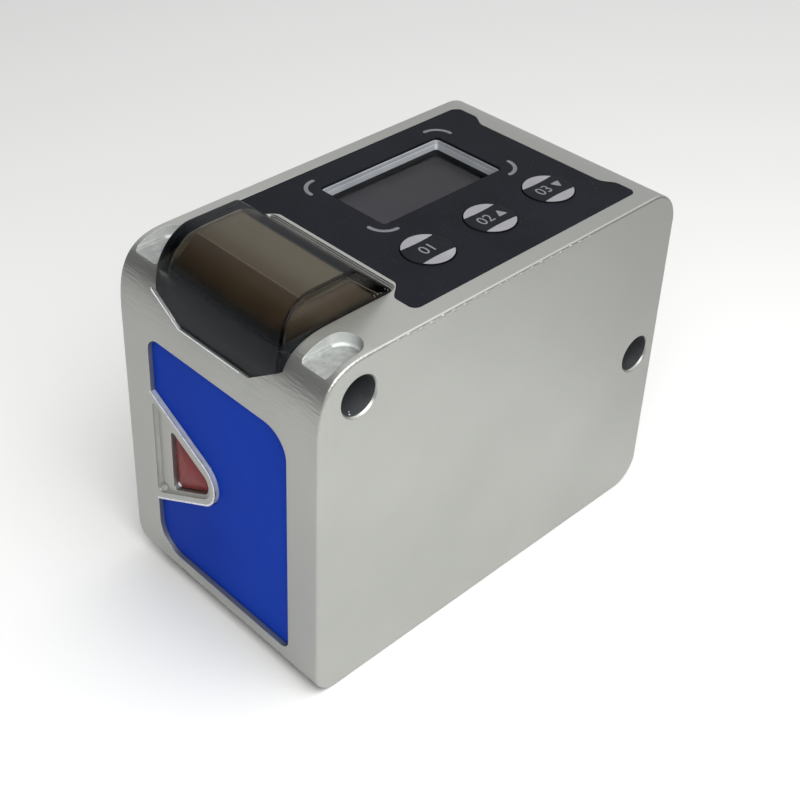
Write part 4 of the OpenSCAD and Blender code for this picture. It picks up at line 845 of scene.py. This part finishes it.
def buildHousing(cast, window, panel, cover):
    gap, half, r = cast["gap"], cast["width"] / 2, cast["footLeft"]
    cable = cast["cableRadius"], cast["cableFrom"], cast["cableTo"], (0.0, 0.0, cast["cableUp"])
    footLeft = np.concatenate([[(-half - 1, -1), (-half + r, -1)], cornerArc((-half + r, r), r, 270, 180, 28),
                               [(-half - 1, r)]])
    cutters = [
        prism("footLeft", footLeft, -1, cast["length"] + 1, "y"), innerRoom(cast), *hoodSeat(cast),
        slotCutter(cast, -1), slotCutter(cast, 1), *windowSeat(cast, window), *panelSeat(cast, panel),
        prism("coverSeat", coverOutline(cover, gap, cover["corner"] + gap), -half - 1,
              -half + cover["thick"] + cover["seal"], "x"),
        prism("coverHole", coverOutline(cover, -cover["ledge"], cover["holeCorner"]), -half - 1,
              -half + cast["coverSide"] + 0.5, "x"),
        rod("cableHole", *cable, "y", 72),
        *(boreCutter(cast, place) for place in cast["bores"]),
    ]
    body = carve(castBlock(cast), cutters)
    right, up = window["studPlace"]
    place = (window["left"] + right, 0.0, window["axis"] - window["notchHeight"] / 2 + up)
    stud = dome("stud", window["studRadius"], window["studHeight"], window["studFace"],
                window["notchFloor"] + 0.1, quarter(8, 80), 0.01, place)
    return carve(body, [stud], "UNION")


def dome(name, radius, height, face, foot, turn, core, place):
    # a round post whose end swells forward from its face as a quarter of an ellipse
    profile = [(core, foot), (radius, foot), *zip(radius * np.cos(turn), face - height * np.sin(turn))]
    return turned(name, profile, place, "y", 40)


def buildBead(window):
    # a small dome in the lower left corner of the lens's recess, painted bright as a highlight
    corner = lensOutline(window, 0.0).min(axis=0) + window["beadPlace"]
    face = window["notchFloor"] + window["lensSink"]
    return dome("lensBead", window["beadRadius"], window["beadHeight"], face,
                face + 0.1, quarter(9, 84), 0.02, (corner[0], 0.0, corner[1]))


faceLimits = {
    # how far faces reach in millimetres, and the least or the greatest part of a normal along one axis
    "near": 0.02, "onWall": 0.2, "onFloor": 0.5, "recessHalf": 10.8, "recessFoot": 3.2, "recessTop": 31.6,
    "boreWall": 0.3, "notchTip": 13.6, "notchHalf": 7.6, "notchMiddle": 3.5, "notchStart": 0.9, "flankBack": 1.0,
    "innerBack": 0.47, "slotWall": 0.15, "slotEnd": 5.0, "slotUpright": 0.9, "slotFloor": 0.45,
    "stepBack": 0.8, "stepFoot": 39.5, "stepHalf": 9.0, "stepWall": -0.7,
}


def dressHousing(piece, cast, window, limits):
    # the faces of the bores, recesses, slots, notch and hood steps take finishes of their own
    x, y, z, nx, ny, nz = faceSpots(piece.data)
    near, upright, inside = limits["near"], np.abs(ny) < limits["onWall"], y > limits["near"]
    bores = [np.hypot(y - boreY, z - boreZ) < cast["boreRadius"] + near for boreY, boreZ in cast["bores"]]
    # the bores' walls take painted shade
    finishFaces(piece, "boredMetalPaintedShade", (bores[0] | bores[1]) & (np.abs(nx) < limits["boreWall"]))
    fromAxis, fromSlot = np.abs(z - window["axis"]), np.abs(np.abs(x) - cast["slotX"])
    inRecess = inside & upright & (y < window["sink"]) & (np.abs(x) < limits["recessHalf"])
    inRecess = inRecess & (z > limits["recessFoot"]) & (z < limits["recessTop"])
    inNotch = (x < window["left"] + limits["notchTip"]) & (fromAxis < limits["notchHalf"])
    # the pane's recess walls take painted shade
    finishFaces(piece, "recessWallPaintedShade", inRecess & ~inNotch)
    floor, top = cast["height"] - cast["slotDepth"], cast["height"] - near
    inSlot = (fromSlot < cast["slotRadius"] + near / 2) & (y < cast["slotEnd"] + near / 2)
    inSlot = inSlot & (z > floor - near) & (z < top)
    atEnd = (y > limits["slotEnd"]) & (nz < limits["slotUpright"])
    finishFaces(piece, "slotWall", inSlot & ((np.abs(nx) > limits["slotWall"]) | atEnd))
    onSlot = (fromSlot < cast["slotRadius"]) & (y < cast["slotEnd"]) & (np.abs(z - floor) < limits["slotFloor"])
    finishFaces(piece, "roughCast", onSlot & (nz > limits["onFloor"]) & (ny > -0.05))
    fromMiddle = x - (window["left"] + limits["notchMiddle"])
    outward = fromMiddle * nx + (z - window["axis"]) * nz > 0
    inNotch = inNotch & inside & (x > window["left"] - limits["notchStart"])
    # the notch's outer flank takes a painted sheen
    finishFaces(piece, "flankPaintedSheen", inNotch & outward & upright & (y < limits["flankBack"]))
    finishFaces(piece, "mattCast", inNotch & ~outward & (y < limits["innerBack"]))
    onStep = (y > cast["hoodBack"] - near) & (y < cast["hoodBack"] + limits["stepBack"])
    onStep = onStep & (z > limits["stepFoot"]) & (np.abs(x) < limits["stepHalf"])
    # painted shade: the hood steps' front-facing walls draw dark lines
    finishFaces(piece, "nicksAndPaintedShade", onStep & (ny < limits["stepWall"]))


housingMesh = buildHousing(castShape, windowShape, panelShape, coverShape)
housing = linkPiece("castHousing", housingMesh, "castSilver", replaced=["housing"], degrees=22)
weighted = housing.modifiers.new("flatFaces", "WEIGHTED_NORMAL")
weighted.keep_sharp, weighted.weight = True, 90
dressHousing(housing, castShape, windowShape, faceLimits)
print("housing built:", len(housingMesh.polygons), "faces")


trimShape = {
    "rimWidth": 0.26, "rimProud": 0.03, "rimDepth": 0.2, "rimEnd": -10.8,
    "seatWidth": 0.06, "seatProud": 0.012, "seatDepth": 0.08,
    "burrFrom": 9.5, "burrTo": 36.5, "burrSteps": 420, "burrWave": 0.05, "burrSunk": 0.7,
    "rimMiddle": 0.45, "rimSunk": 0.015, "rimLeft": 0.3,
    # the shift of the waves and the reach, and for the right edge's two the drop below the top between them
    "edgeNicks": (0.0, 0.44, 0.06), "edgeBurr": (1.0, 0.2, 0.035), "rimNicks": (0.7, 0.04),
}


def openNotch(window, out, end):
    # the notch's outline from its lower left end round the tip to its upper left end
    line = wholeNotch(window, out)[15:33].copy()
    for first, second in ((0, 1), (-1, -2)):
        reach = (end - line[second, 0]) / (line[first, 0] - line[second, 0])
        line[first] = line[second] + reach * (line[first] - line[second])
    return line


def buildNotchRim(shape, window):
    # a flat-topped bead on the rim's outer edge, as distances inwards and forwards
    w, proud, deep = shape["rimWidth"], shape["rimProud"], shape["rimDepth"]
    profile = [(0.0, -deep), (0.0, proud * 0.4), (-0.05, proud), (-w + 0.1, proud), (-w, -0.03), (-w, -deep)]
    rows = [frontView(openNotch(window, a, shape["rimEnd"]), -up) for a, up in profile]
    return loft("notchRim", np.stack(rows, axis=1))


def buildSeatHighlight(shape, cast):
    # a painted highlight: a thin bright strip on the hood's seat edge, down the chin's left slope and along its
    # foot
    half, chinHalf, foot, top = cast["hoodHalf"], cast["chinHalf"], cast["chinFoot"], cast["chinTop"]
    line = np.array([(-half, top + 0.2), (-half, top), (-chinHalf, foot), (chinHalf - 1.2, foot)])
    line = line - (0, cast["gap"])
    w, proud, deep = shape["seatWidth"], shape["seatProud"], shape["seatDepth"]
    outer = line + np.array([(-w, 0), (-w, -w * 0.5), (-w * 0.5, -w), (0, -w)])
    rows = [frontView(line, deep), frontView(line, -proud), frontView(outer, -proud), frontView(outer, deep)]
    return loft("seatEdgeHighlight", np.stack(rows, axis=1))


def brokenRadius(steps, shift, reach):
    # a product of sines that often falls to nothing, so that the tube comes and goes
    t = np.linspace(0, 1, steps)
    rough = np.sin(61 * t + shift) * np.sin(173 * t + 2 * shift)
    rough = rough + 0.5 * np.sin(411 * t) + 0.35 * np.sin(807 * t + shift)
    return reach * np.clip(rough - 0.2, 0.02, 1.2)


def roughTube(name, line, across, radius, steps=8):
    # a thin tube along a line: a ring is its radius times a circle over the across vector and one upright to it
    turn = np.linspace(0, 2 * math.pi, steps, endpoint=False)[None, :, None]
    across = np.tile(across, (len(line), 1))
    upward = np.cross(across, np.gradient(line, axis=0))
    upward = upward / np.linalg.norm(upward, axis=1)[:, None]
    circles = across[:, None] * np.cos(turn) + upward[:, None] * np.sin(turn)
    rings = line[:, None] + radius[:, None, None] * circles
    return loft(name, at(rings[..., 0], rings[..., 1], rings[..., 2]))


def buildBurr(name, shape, cast):
    # along the right side's top edge
    shift, drop, reach = shape[name]
    t = np.linspace(0, 1, shape["burrSteps"])
    y = shape["burrFrom"] + (shape["burrTo"] - shape["burrFrom"]) * t
    radius = brokenRadius(len(t), shift, reach)
    height = cast["height"] - drop + shape["burrWave"] * np.sin(37 * t)
    line = np.stack([cast["width"] / 2 - radius * shape["burrSunk"], y, height], axis=-1)
    return roughTube(name, line, [1.0, 0.0, 0.0], radius)


def buildRimNicks(shape, window):
    # along the middle of the notch's bead
    path = openNotch(window, -shape["rimWidth"] * shape["rimMiddle"], shape["rimEnd"])
    reach = np.concatenate([[0.0], np.cumsum(np.linalg.norm(np.diff(path, axis=0), axis=1))])
    along = np.linspace(reach[0], reach[-1] - shape["rimLeft"], shape["burrSteps"])
    depth = np.full(len(along), -shape["rimProud"] + shape["rimSunk"])
    line = np.stack([np.interp(along, reach, path[:, 0]), depth, np.interp(along, reach, path[:, 1])], axis=-1)
    return roughTube("rimNicks", line, [0.0, 1.0, 0.0], brokenRadius(len(along), *shape["rimNicks"]))


def buildSideCover(cast, cover):
    # a plate with round corners and a counterbore for each screw
    half, inset, head, hole = cast["width"] / 2, cover["screwInset"], cover["screwHead"], cover["screwHole"]
    outline = coverOutline(cover, 0.0, cover["corner"], 16)
    plate = prism("sideCover", outline, -half, -half + cover["thick"], "x")
    face, seat, back = -half - 1, -half + cover["headDepth"], -half + 3
    profile = [(0.01, face), (head, face), (head, seat), (hole, seat), (hole, back), (0.01, back)]
    sinks = [turned("screwSink", profile, (0.0, y, z), "x", 48)
             for y in (cover["front"] + inset, cover["rear"] - inset)
             for z in (cover["foot"] + inset, cover["top"] - inset)]
    return carve(plate, sinks)


castTrims = {
    # name: mesh, finish, and the angle past which an edge is sharp
    # the near-white machined finish on these trims is a painted highlight
    "lensBead": (buildBead(windowShape), "machinedPaintedHighlight", 50),
    "notchRim": (buildNotchRim(trimShape, windowShape), "machinedPaintedHighlight", 40),
    # the seat's edge is a painted highlight strip
    "seatEdgeHighlight": (buildSeatHighlight(trimShape, castShape), "machinedPaintedHighlight", 40),
    "edgeNicks": (buildBurr("edgeNicks", trimShape, castShape), "nicksAndPaintedShade", 60),
    "edgeBurr": (buildBurr("edgeBurr", trimShape, castShape), "machinedPaintedHighlight", 60),
    "rimNicks": (buildRimNicks(trimShape, windowShape), "nicksAndPaintedShade", 60),
}
for trimName, (trimMesh, finishName, angle) in castTrims.items():
    linkPiece(trimName, trimMesh, finishName, degrees=angle)
linkPiece("sideCover", buildSideCover(castShape, coverShape), "castSilver",
          replaced=["side_cover"], degrees=30, bevel=coverShape["bevel"])
print("trims, burr and side cover built")


# the film and the blue pane

def buildFilm(panel):
    # the outline with the display's and the keys' openings
    film = prism("panelFilm", panelOutline(panel, 0.0), panel["top"] - panel["thick"], panel["top"])
    cuts = [prism("screenHole", screenOutline(panel, 0.05), 39, 41)]
    cuts += [prism("keyHole", circle((panel["keyX"], y), panel["keyHole"], 96), 39, 41) for y in panel["keyYs"]]
    return carve(film, cuts)


def buildBluePane(window):
    pane = prism("bluePane", windowOutline(window, 0.0), window["sink"], window["sink"] + window["thick"], "y")
    return carve(pane, [prism("notchBlock", wholeNotch(window, 0.05), -1, 4, "y")])


linkPiece("panelFilm", buildFilm(panelShape), "printedFilm", replaced=["control_panel"],
          degrees=30, bevel=0.05)
linkPiece("bluePane", buildBluePane(windowShape), "blueFilter", replaced=["front_window"],
          degrees=30, bevel=0.1)
print("film and pane built")


# the smoked hood and the light guide in it

hoodShape = {
    "width": 18.4, "topWidth": 17.1, "length": 14.55, "bodyTop": 40.3, "rise": 3.9, "ramp": 4.3, "sink": 0.35,
    "noseLength": 5.2, "noseHeight": 7.7, "nosePower": 2.5, "edge": 0.36, "wall": 1.1, "floor": 39.1,
    "chinDrop": 5.2, "chinWidth": 10.4, "chinHeight": 2.6, "levels": 46, "overSteps": 16, "cornerSteps": 12,
    "tailLift": 0.1, "leastCorner": 0.15, "lowShare": 0.4, "rampShare": 0.6, "cornerShare": 0.6,
}

guideShape = {
    "half": 7.6, "foot": 39.42, "top": 42.7, "front": 2.1, "frontTop": 40.4, "crease": 4.7, "back": 10.1,
    "tail": 12.9, "tailTop": 39.9, "corners": (0.05, 0.05, 0.05, 0.25, 0.18, 0.3),
}


def hoodForm(name, shape, foot, inset):
    # rounded rectangles stacked up: the nose is a superellipse, the tail slopes, the sides lean and round over
    edge, rise = shape["edge"], shape["rise"]
    top = shape["bodyTop"] + rise - inset
    low = shape["bodyTop"] + shape["tailLift"] - inset * shape["lowShare"]
    straight = np.linspace(foot, top - edge, shape["levels"])
    z = np.concatenate([straight, top - edge * (1 - np.sin(quarter(shape["overSteps"])[1:]))])
    lean = np.clip(z - shape["bodyTop"], 0, rise) / rise
    curl = np.clip(z - (top - edge), 0, edge)
    half = shape["width"] / 2 - inset - (shape["width"] - shape["topWidth"]) / 2 * lean - edge
    half = half + np.sqrt(np.maximum(edge ** 2 - curl ** 2, 0))
    s = np.clip(1 - (top - z) / (shape["noseHeight"] - inset), 0, 1)
    nose = 1 - (1 - s ** shape["nosePower"]) ** (1 / shape["nosePower"])
    nose = shape["sink"] + inset + (shape["noseLength"] - inset) * nose
    t = np.clip((z - low) / (top - low), 0, 1)
    tail = shape["length"] - inset - t * (shape["ramp"] - inset * shape["rampShare"])
    radius = max(edge - inset * shape["cornerShare"], shape["leastCorner"])
    turn = np.radians([np.linspace(a, a + 90, shape["cornerSteps"]) for a in (-90, 0, 90, 180)]).ravel()
    right = np.repeat([1, 1, -1, -1], shape["cornerSteps"])
    back = np.repeat([-1, 1, 1, -1], shape["cornerSteps"])
    x = right * (half[:, None] - radius) + radius * np.cos(turn)
    y = np.where(back < 0, nose[:, None] + radius, tail[:, None] - radius) + radius * np.sin(turn)
    return loft(name, at(x, y, z[:, None]))


def buildHood(shape):
    # the form less its hollow, the back of the chin and the chin's cut corners
    half, wall, side = shape["width"] / 2, shape["sink"] + shape["wall"], shape["chinWidth"] / 2
    chin, wide = shape["bodyTop"] - shape["chinDrop"], half + 1
    top = chin + shape["chinHeight"]
    behind = boxOutline(-wide, wall, wide, shape["length"] + 1)
    cutters = [hoodForm("hoodHollow", shape, shape["floor"] - 0.5, shape["wall"]),
               prism("hoodBehind", behind, chin - 1, shape["floor"])]
    for way in (-1, 1):
        corner = [(side, chin - 0.6), (side, chin), (half, top), (wide, top), (wide, chin - 0.6)]
        cutters.append(prism("chinCorner", np.array(corner) * (way, 1), -1, shape["length"], "y"))
    return carve(hoodForm("smokedHood", shape, chin, 0.0), cutters)


def buildGuide(shape):
    # a side outline carried across: a bevel up to the crease, the flat top, and the tail's slope
    outline = [(shape[y], shape[z]) for y, z in (("front", "foot"), ("tail", "foot"), ("tail", "tailTop"),
                                                 ("back", "top"), ("crease", "top"), ("front", "frontTop"))]
    return prism("lightGuide", roundedPolygon(outline, shape["corners"], 6), -shape["half"], shape["half"], "x")


guide = linkPiece("lightGuide", buildGuide(guideShape), "milkyGuide", replaced=["light_guide"],
                  degrees=50, bevel=0.04)
x, y, z, nx, ny, nz = faceSpots(guide.data)
# painted shade: the guide's front bevel and ends take a darker brown copy
finishFaces(guide, "guideBrownPaintedShade", (ny < -0.3) | (np.abs(nx) > 0.5))
# painted shade: the guide's tail and foot are black
finishFaces(guide, "blackPlasticAndPaintedShade", (ny > 0.3) | (nz < -0.5))
# painted highlight: a lighter line along the guide's crease
finishFaces(guide, "whitePlasticAndPaintedHighlight", (ny < -0.03) & (ny > -0.6) & (nz > 0.6))

hood = linkPiece("smokedHood", buildHood(hoodShape), "smokedPlastic",
                 replaced=["indicator_hood"], degrees=26)
x, y, z, nx, ny, nz = faceSpots(hood.data)
# the flat sides take a lighter copy, painted light, with painted shade at the top
finishFaces(hood, "smokedSidePaintedLightAndShade", (np.abs(nx) > 0.93) & (z > hoodShape["bodyTop"]) & (y > 1.0))
# painted shade along the right ridge
finishFaces(hood, "ridgePaintedShade", (nx > 0.2) & (nx < 0.86) & (z > 36.0))
print("hood built:", len(hood.data.polygons), "faces")


def buildChips(name, seed, count, low, high, size):
    # bits of swarf: small spheres of few faces whose corners are pushed about
    rng = np.random.default_rng(seed)
    form = bmesh.new()
    for place, reach in zip(rng.uniform(low, high, (count, 3)), rng.uniform(0.4, 1.0, count) * size):
        made = bmesh.ops.create_icosphere(form, subdivisions=1, radius=reach * mm)["verts"]
        for corner, push in zip(made, rng.uniform(0.5, 1.2, (len(made), 3))):
            corner.co = Vector(at(*place)) + Vector(corner.co[i] * push[i] for i in range(3))
    mesh = bpy.data.meshes.new(name)
    form.to_mesh(mesh)
    form.free()
    return mesh


chipHeaps = {
    # name: seed, count, the lowest and highest corner of the heap, size
    "cornerChips": (7, 9, (8.5, 11.6, 40.36), (9.15, 14.4, 40.5), 0.1),
    "boreChips": (3, 9, (9.5, 4.1, 33.95), (14.6, 4.9, 34.05), 0.1),
}
for chipName, heap in chipHeaps.items():
    linkPiece(chipName, buildChips(chipName, *heap), "machinedPaintedHighlight", degrees=20)
print("chips scattered")


# the emitter's red lens in its notch

lensShape = {"crown": 0.38, "rings": 14, "lastRing": 88}


def buildEmitterLens(shape, window):
    # the lens's outline in rings that shrink to its middle while the front face swells forward
    outline = lensOutline(window, 0.0)
    middle = outline.mean(axis=0)
    face = window["notchFloor"] + window["lensSink"]
    scale = np.cos(quarter(shape["rings"], shape["lastRing"]))
    depth = np.concatenate([[face + window["lensThick"]], face - shape["crown"] * np.sqrt(1 - scale ** 2)])
    scale = np.concatenate([[1.0], scale])
    return loft("emitterLens", frontView(middle + scale[:, None, None] * (outline - middle), depth[:, None]))


linkPiece("emitterLens", buildEmitterLens(lensShape, windowShape), "redFilter",
          replaced=["emitter_window"], degrees=40)
print("emitter lens built")


# the display: a sheet of glass and the sloping bezel round it

screenShape = {
    "centerX": -4.8, "centerY": 31.05, "width": 9.7, "length": 17.5, "corner": 0.6,
    "top": 40.02, "foot": 39.12, "slope": 0.46,
    "lap": 0.9, "glassFoot": 38.36, "glassTop": 39.1, "glassCorner": 0.5,
}


def screenRing(shape, inset, corner):
    halfX, halfY = shape["width"] / 2 - inset, shape["length"] / 2 - inset
    return roundedRing(-halfX, -halfY, halfX, halfY, corner) + (shape["centerX"], shape["centerY"])


def buildBezel(shape):
    # one profile carried round a rounded rectangle: a rolled top, a slope, a ledge and a step on the glass
    slope, top, foot = shape["slope"], shape["top"], shape["foot"]
    profile = [(0.0, top), (0.03, top), (0.09, top - 0.05), (slope * 0.45, top - 0.40),
               (slope * 0.55, top - 0.43), (slope * 0.95, foot + 0.12), (slope, foot + 0.06),
               (slope + 0.02, foot), (0.0, foot)]
    rings = [at(*screenRing(shape, step, shape["corner"] - step * 0.4).T, z) for step, z in profile]
    return loft("screenBezel", np.array(rings), closed=False)


# the glass is held just clear of the cell below it
screenPane = prism("screenPane", screenRing(screenShape, -screenShape["lap"], screenShape["glassCorner"]),
                   screenShape["glassFoot"], screenShape["glassTop"])
linkPiece("screenPane", screenPane, "screenGlass", replaced=["display_glass"],
          degrees=30, bevel=0.06)
linkPiece("screenBezel", buildBezel(screenShape), "bezelSilver", degrees=20)
print("display built")


# the keys and their marks

keyShape = {
    "x": 6.35, "radius": 2.75, "top": 40.42, "edge": 0.05, "stem": 1.0, "stemTop": 38.0, "collarTop": 38.45,
    "band": 1.57, "bandBow": 0.12, "markRadius": 2.72, "markLift": 0.012, "sunk": 0.02,
    "figure": 1.95, "figureThick": 0.03, "figureShift": -0.65,
    "arrow": 0.62, "arrowLength": 0.8, "arrowCorner": 0.1, "arrowPlace": 1.45, "arrowLift": 0.015,
}
keys = [
    # node, body, place along y, figure, and the way its arrow head points along x, 0 where it has none
    ("set_button", "set_key", 22.15, "01", 0),
    ("select_button", "select_key", 31.15, "02", 1),
    ("mode_button", "mode_key", 40.15, "03", -1),
]


def buildKeyCap(name, node, shape, y):
    # the node's own profile turned finely, with a rolled edge
    low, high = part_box(node)
    foot, collar, r, edge = low.z / mm, (high.x - low.x) / mm / 2, shape["radius"], shape["edge"]
    stem, stemTop, collarTop, angle = shape["stem"], shape["stemTop"], shape["collarTop"], quarter(8)
    profile = [(0.05, foot), (stem, foot), (stem, stemTop),
               (collar, stemTop), (collar, collarTop), (r, collarTop)]
    profile += zip(r - edge + edge * np.cos(angle), shape["top"] - edge + edge * np.sin(angle))
    profile += [(inner, shape["top"]) for inner in np.linspace(r - edge, 0.05, 12)[1:]]
    return turned(name, profile, (shape["x"], y, 0.0), "z", 96)


def printedOn(name, shape, y, outline, lift):
    # a thin print on the key's top, its outline first across x and then along y from the key's middle
    return prism(name, np.asarray(outline) + (shape["x"], y), shape["top"] - shape["sunk"], shape["top"] + lift)


def buildSegment(shape, y, side):
    # the part of the key's circle beyond one edge of its dark band
    reach = math.sqrt(shape["markRadius"] ** 2 - shape["band"] ** 2)
    end = math.degrees(math.atan2(reach, shape["band"]))
    outer = cornerArc((0, 0), shape["markRadius"], -end, end, 33)
    t = np.linspace(1, -1, 17)[1:-1]
    inner = np.stack([shape["band"] - shape["bandBow"] * (1 - t ** 2), reach * t], axis=-1)
    outline = np.concatenate([outer, inner]) * (side, 1.0)
    return printedOn("segment", shape, y, outline[::side], shape["markLift"])


def buildFigure(text, shape, y, along):
    # a figure read along y, its head towards -x
    curve = bpy.data.curves.new("keyFigure", "FONT")
    curve.body, curve.align_x, curve.align_y = text, "CENTER", "CENTER"
    curve.size, curve.extrude, curve.resolution_u = shape["figure"] * mm, shape["figureThick"] * mm / 2, 4
    holder = addObject("keyFigure", curve)
    mesh = evaluated(holder)
    bpy.data.objects.remove(holder)
    place = Vector(at(shape["x"], y + along, shape["top"]))
    mesh.transform(Matrix.Translation(place) @ Matrix.Rotation(math.radians(90), 4, "Z"))
    return mesh


def buildArrow(shape, y, way):
    # an arrow head that points to the figures' head or foot
    s = shape["arrow"]
    points = np.array([(-s, 0.0), (s * shape["arrowLength"], -s), (s * shape["arrowLength"], s)]) * (way, 1)
    outline = roundedPolygon(points[::way], [shape["arrowCorner"]] * 3, 5) + (0.0, shape["arrowPlace"])
    return printedOn("arrow", shape, y, outline, shape["arrowLift"])


for node, body, y, text, way in keys:
    linkPiece(body + "_cap", buildKeyCap(body + "_cap", node, keyShape, y), "keyFilm", body,
              replaced=[node], degrees=28)
    figures = [buildFigure(text, keyShape, y, keyShape["figureShift"] if way else 0.0)]
    if way:
        figures.append(buildArrow(keyShape, y, way))
    prints = {"_segments": ("segmentGrey", [buildSegment(keyShape, y, side) for side in (-1, 1)]),
              "_figure": ("figureGrey", figures)}
    for ending, (finishName, meshes) in prints.items():
        linkPiece(body + ending, joinMeshes(body + ending, meshes), finishName, body)
print("keys built")


# the printed corner marks round the display

cornerMarks = {
    # the middle of each quarter ring and the angle where it starts
    "places": (((-9.36, 39.64), 90), ((-0.45, 39.64), 0), ((-9.36, 22.68), 180), ((-0.47, 22.68), 270)),
    "radius": 1.95, "width": 0.44, "foot": 40.28, "top": 40.312, "overrun": 2,
}


def buildCornerMark(shape, center, start):
    # a quarter ring with round ends, printed on the film
    half, radius = shape["width"] / 2, shape["radius"]
    first, last = start - shape["overrun"], start + 90 + shape["overrun"]
    begin, end = (cornerArc(center, radius, a, a, 1)[0] for a in (first, last))
    outline = np.concatenate([
        cornerArc(center, radius + half, first, last, 25),
        cornerArc(end, half, last, last + 180, 9)[1:-1],
        cornerArc(center, radius - half, last, first, 25),
        cornerArc(begin, half, first + 180, first + 360, 9)[1:-1],
    ])
    return prism("cornerMark", outline, shape["foot"], shape["top"])


marks = [buildCornerMark(cornerMarks, *place) for place in cornerMarks["places"]]
linkPiece("cornerMarks", joinMeshes("cornerMarks", marks), "printedGrey")
print("corner marks printed")


# the side cover's screws, with hexagon sockets

screwShape = {
    "face": -14.96, "headHeight": 0.66, "headRadius": 1.1, "chamfer": 0.15, "shankRadius": 0.6, "shank": 1.4,
    "socket": 0.62, "socketDepth": 0.6, "turns": (0.2, 0.9, 0.5, 0.05),
}


def buildScrew(shape, y, z, turn):
    # rings about the screw's axis: the shank, the head with its chamfer, then the hexagon down to its floor
    angle = np.linspace(0, 2 * math.pi, 48, endpoint=False)
    hexagon = math.cos(math.pi / 6) / np.cos((angle + turn) % (math.pi / 3) - math.pi / 6)
    r, h, c, s = shape["headRadius"], shape["headHeight"], shape["chamfer"], shape["socket"]
    shank, deep = shape["shankRadius"], shape["socketDepth"]
    rows = [
        # radius, depth, and whether the ring is a hexagon
        (0.02, h + shape["shank"], False), (shank, h + shape["shank"], False), (shank, h, False), (r, h, False),
        (r, c, False), (r - c, 0.0, False), (s * 1.12, 0.0, False), (s, 0.06, True), (s * 0.97, deep, True),
        (0.02, deep + 0.18, False),
    ]
    radius = np.array([size * (hexagon if flats else np.ones(48)) for size, depth, flats in rows])
    depth = np.array([[depth] for size, depth, flats in rows])
    return loft("screw", at(shape["face"] + depth, y + radius * np.cos(angle), z + radius * np.sin(angle)))


def buildScrews(shape):
    # one in each corner of the node's box
    low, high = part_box("cover_screws")
    r = shape["headRadius"]
    ys, zs = ((low[axis] / mm + r, high[axis] / mm - r) for axis in (1, 2))
    spots = [(y - frontY, z) for y in ys for z in zs]
    screws = [buildScrew(shape, y, z, turn) for (y, z), turn in zip(spots, shape["turns"])]
    return joinMeshes("coverScrews", screws)


linkPiece("coverScrews", buildScrews(screwShape), "screwSteel", replaced=["cover_screws"],
          degrees=28)
print("cover screws built")


# the cable inlet

glandShape = {
    "up": 9.2, "rear": 51.3, "flangeRadius": 5.0, "neckRadius": 3.5, "bore": 2.3, "wall": 0.6,
    "neckLength": 4.0, "ribs": 24, "ribDepth": 0.12,
}


def buildGland(shape):
    # a turned flange and neck; the neck's outer rows carry shallow grip ribs, a cosine of the angle
    angle = np.linspace(0, 2 * math.pi, 192, endpoint=False)
    r, n, w, bore, inner = (shape[key] for key in ("flangeRadius", "neckRadius", "wall", "bore", "neckLength"))
    rows = np.array([
        # radius, depth behind the rear face, and 1 where the ribs are
        (n - w, -inner, 0), (n, -inner, 0), (n, 0.0, 0), (r - 0.15, 0.0, 0), (r, 0.15, 0),
        (r, 1.0, 0), (r - 0.06, 1.14, 0), (r - 0.2, 1.2, 0), (r - 0.75, 1.2, 0), (r - 0.95, 1.35, 0),
        (n + 0.42, 1.75, 1), (n + 0.25, 2.4, 1), (n + 0.12, 3.4, 1), (n, 4.1, 1), (n - 0.1, 4.35, 0),
        (n - 0.3, 4.55, 0), (n - 0.45, 4.6, 0), (bore + 0.15, 4.6, 0), (bore, 4.45, 0), (bore, 3.4, 0),
        (n - w, 3.4, 0),
    ])
    base, depth, ribbed = rows[:, :1], rows[:, 1:2], rows[:, 2:]
    radius = base - ribbed * shape["ribDepth"] * (0.5 + 0.5 * np.cos(angle * shape["ribs"]))
    x, z = radius * np.cos(angle), shape["up"] + radius * np.sin(angle)
    return loft("cableGland", at(x, shape["rear"] + depth, z), closed=False)


linkPiece("cableGland", buildGland(glandShape), "glandPlastic", replaced=["cable_gland"],
          degrees=30)
print("cable inlet built")
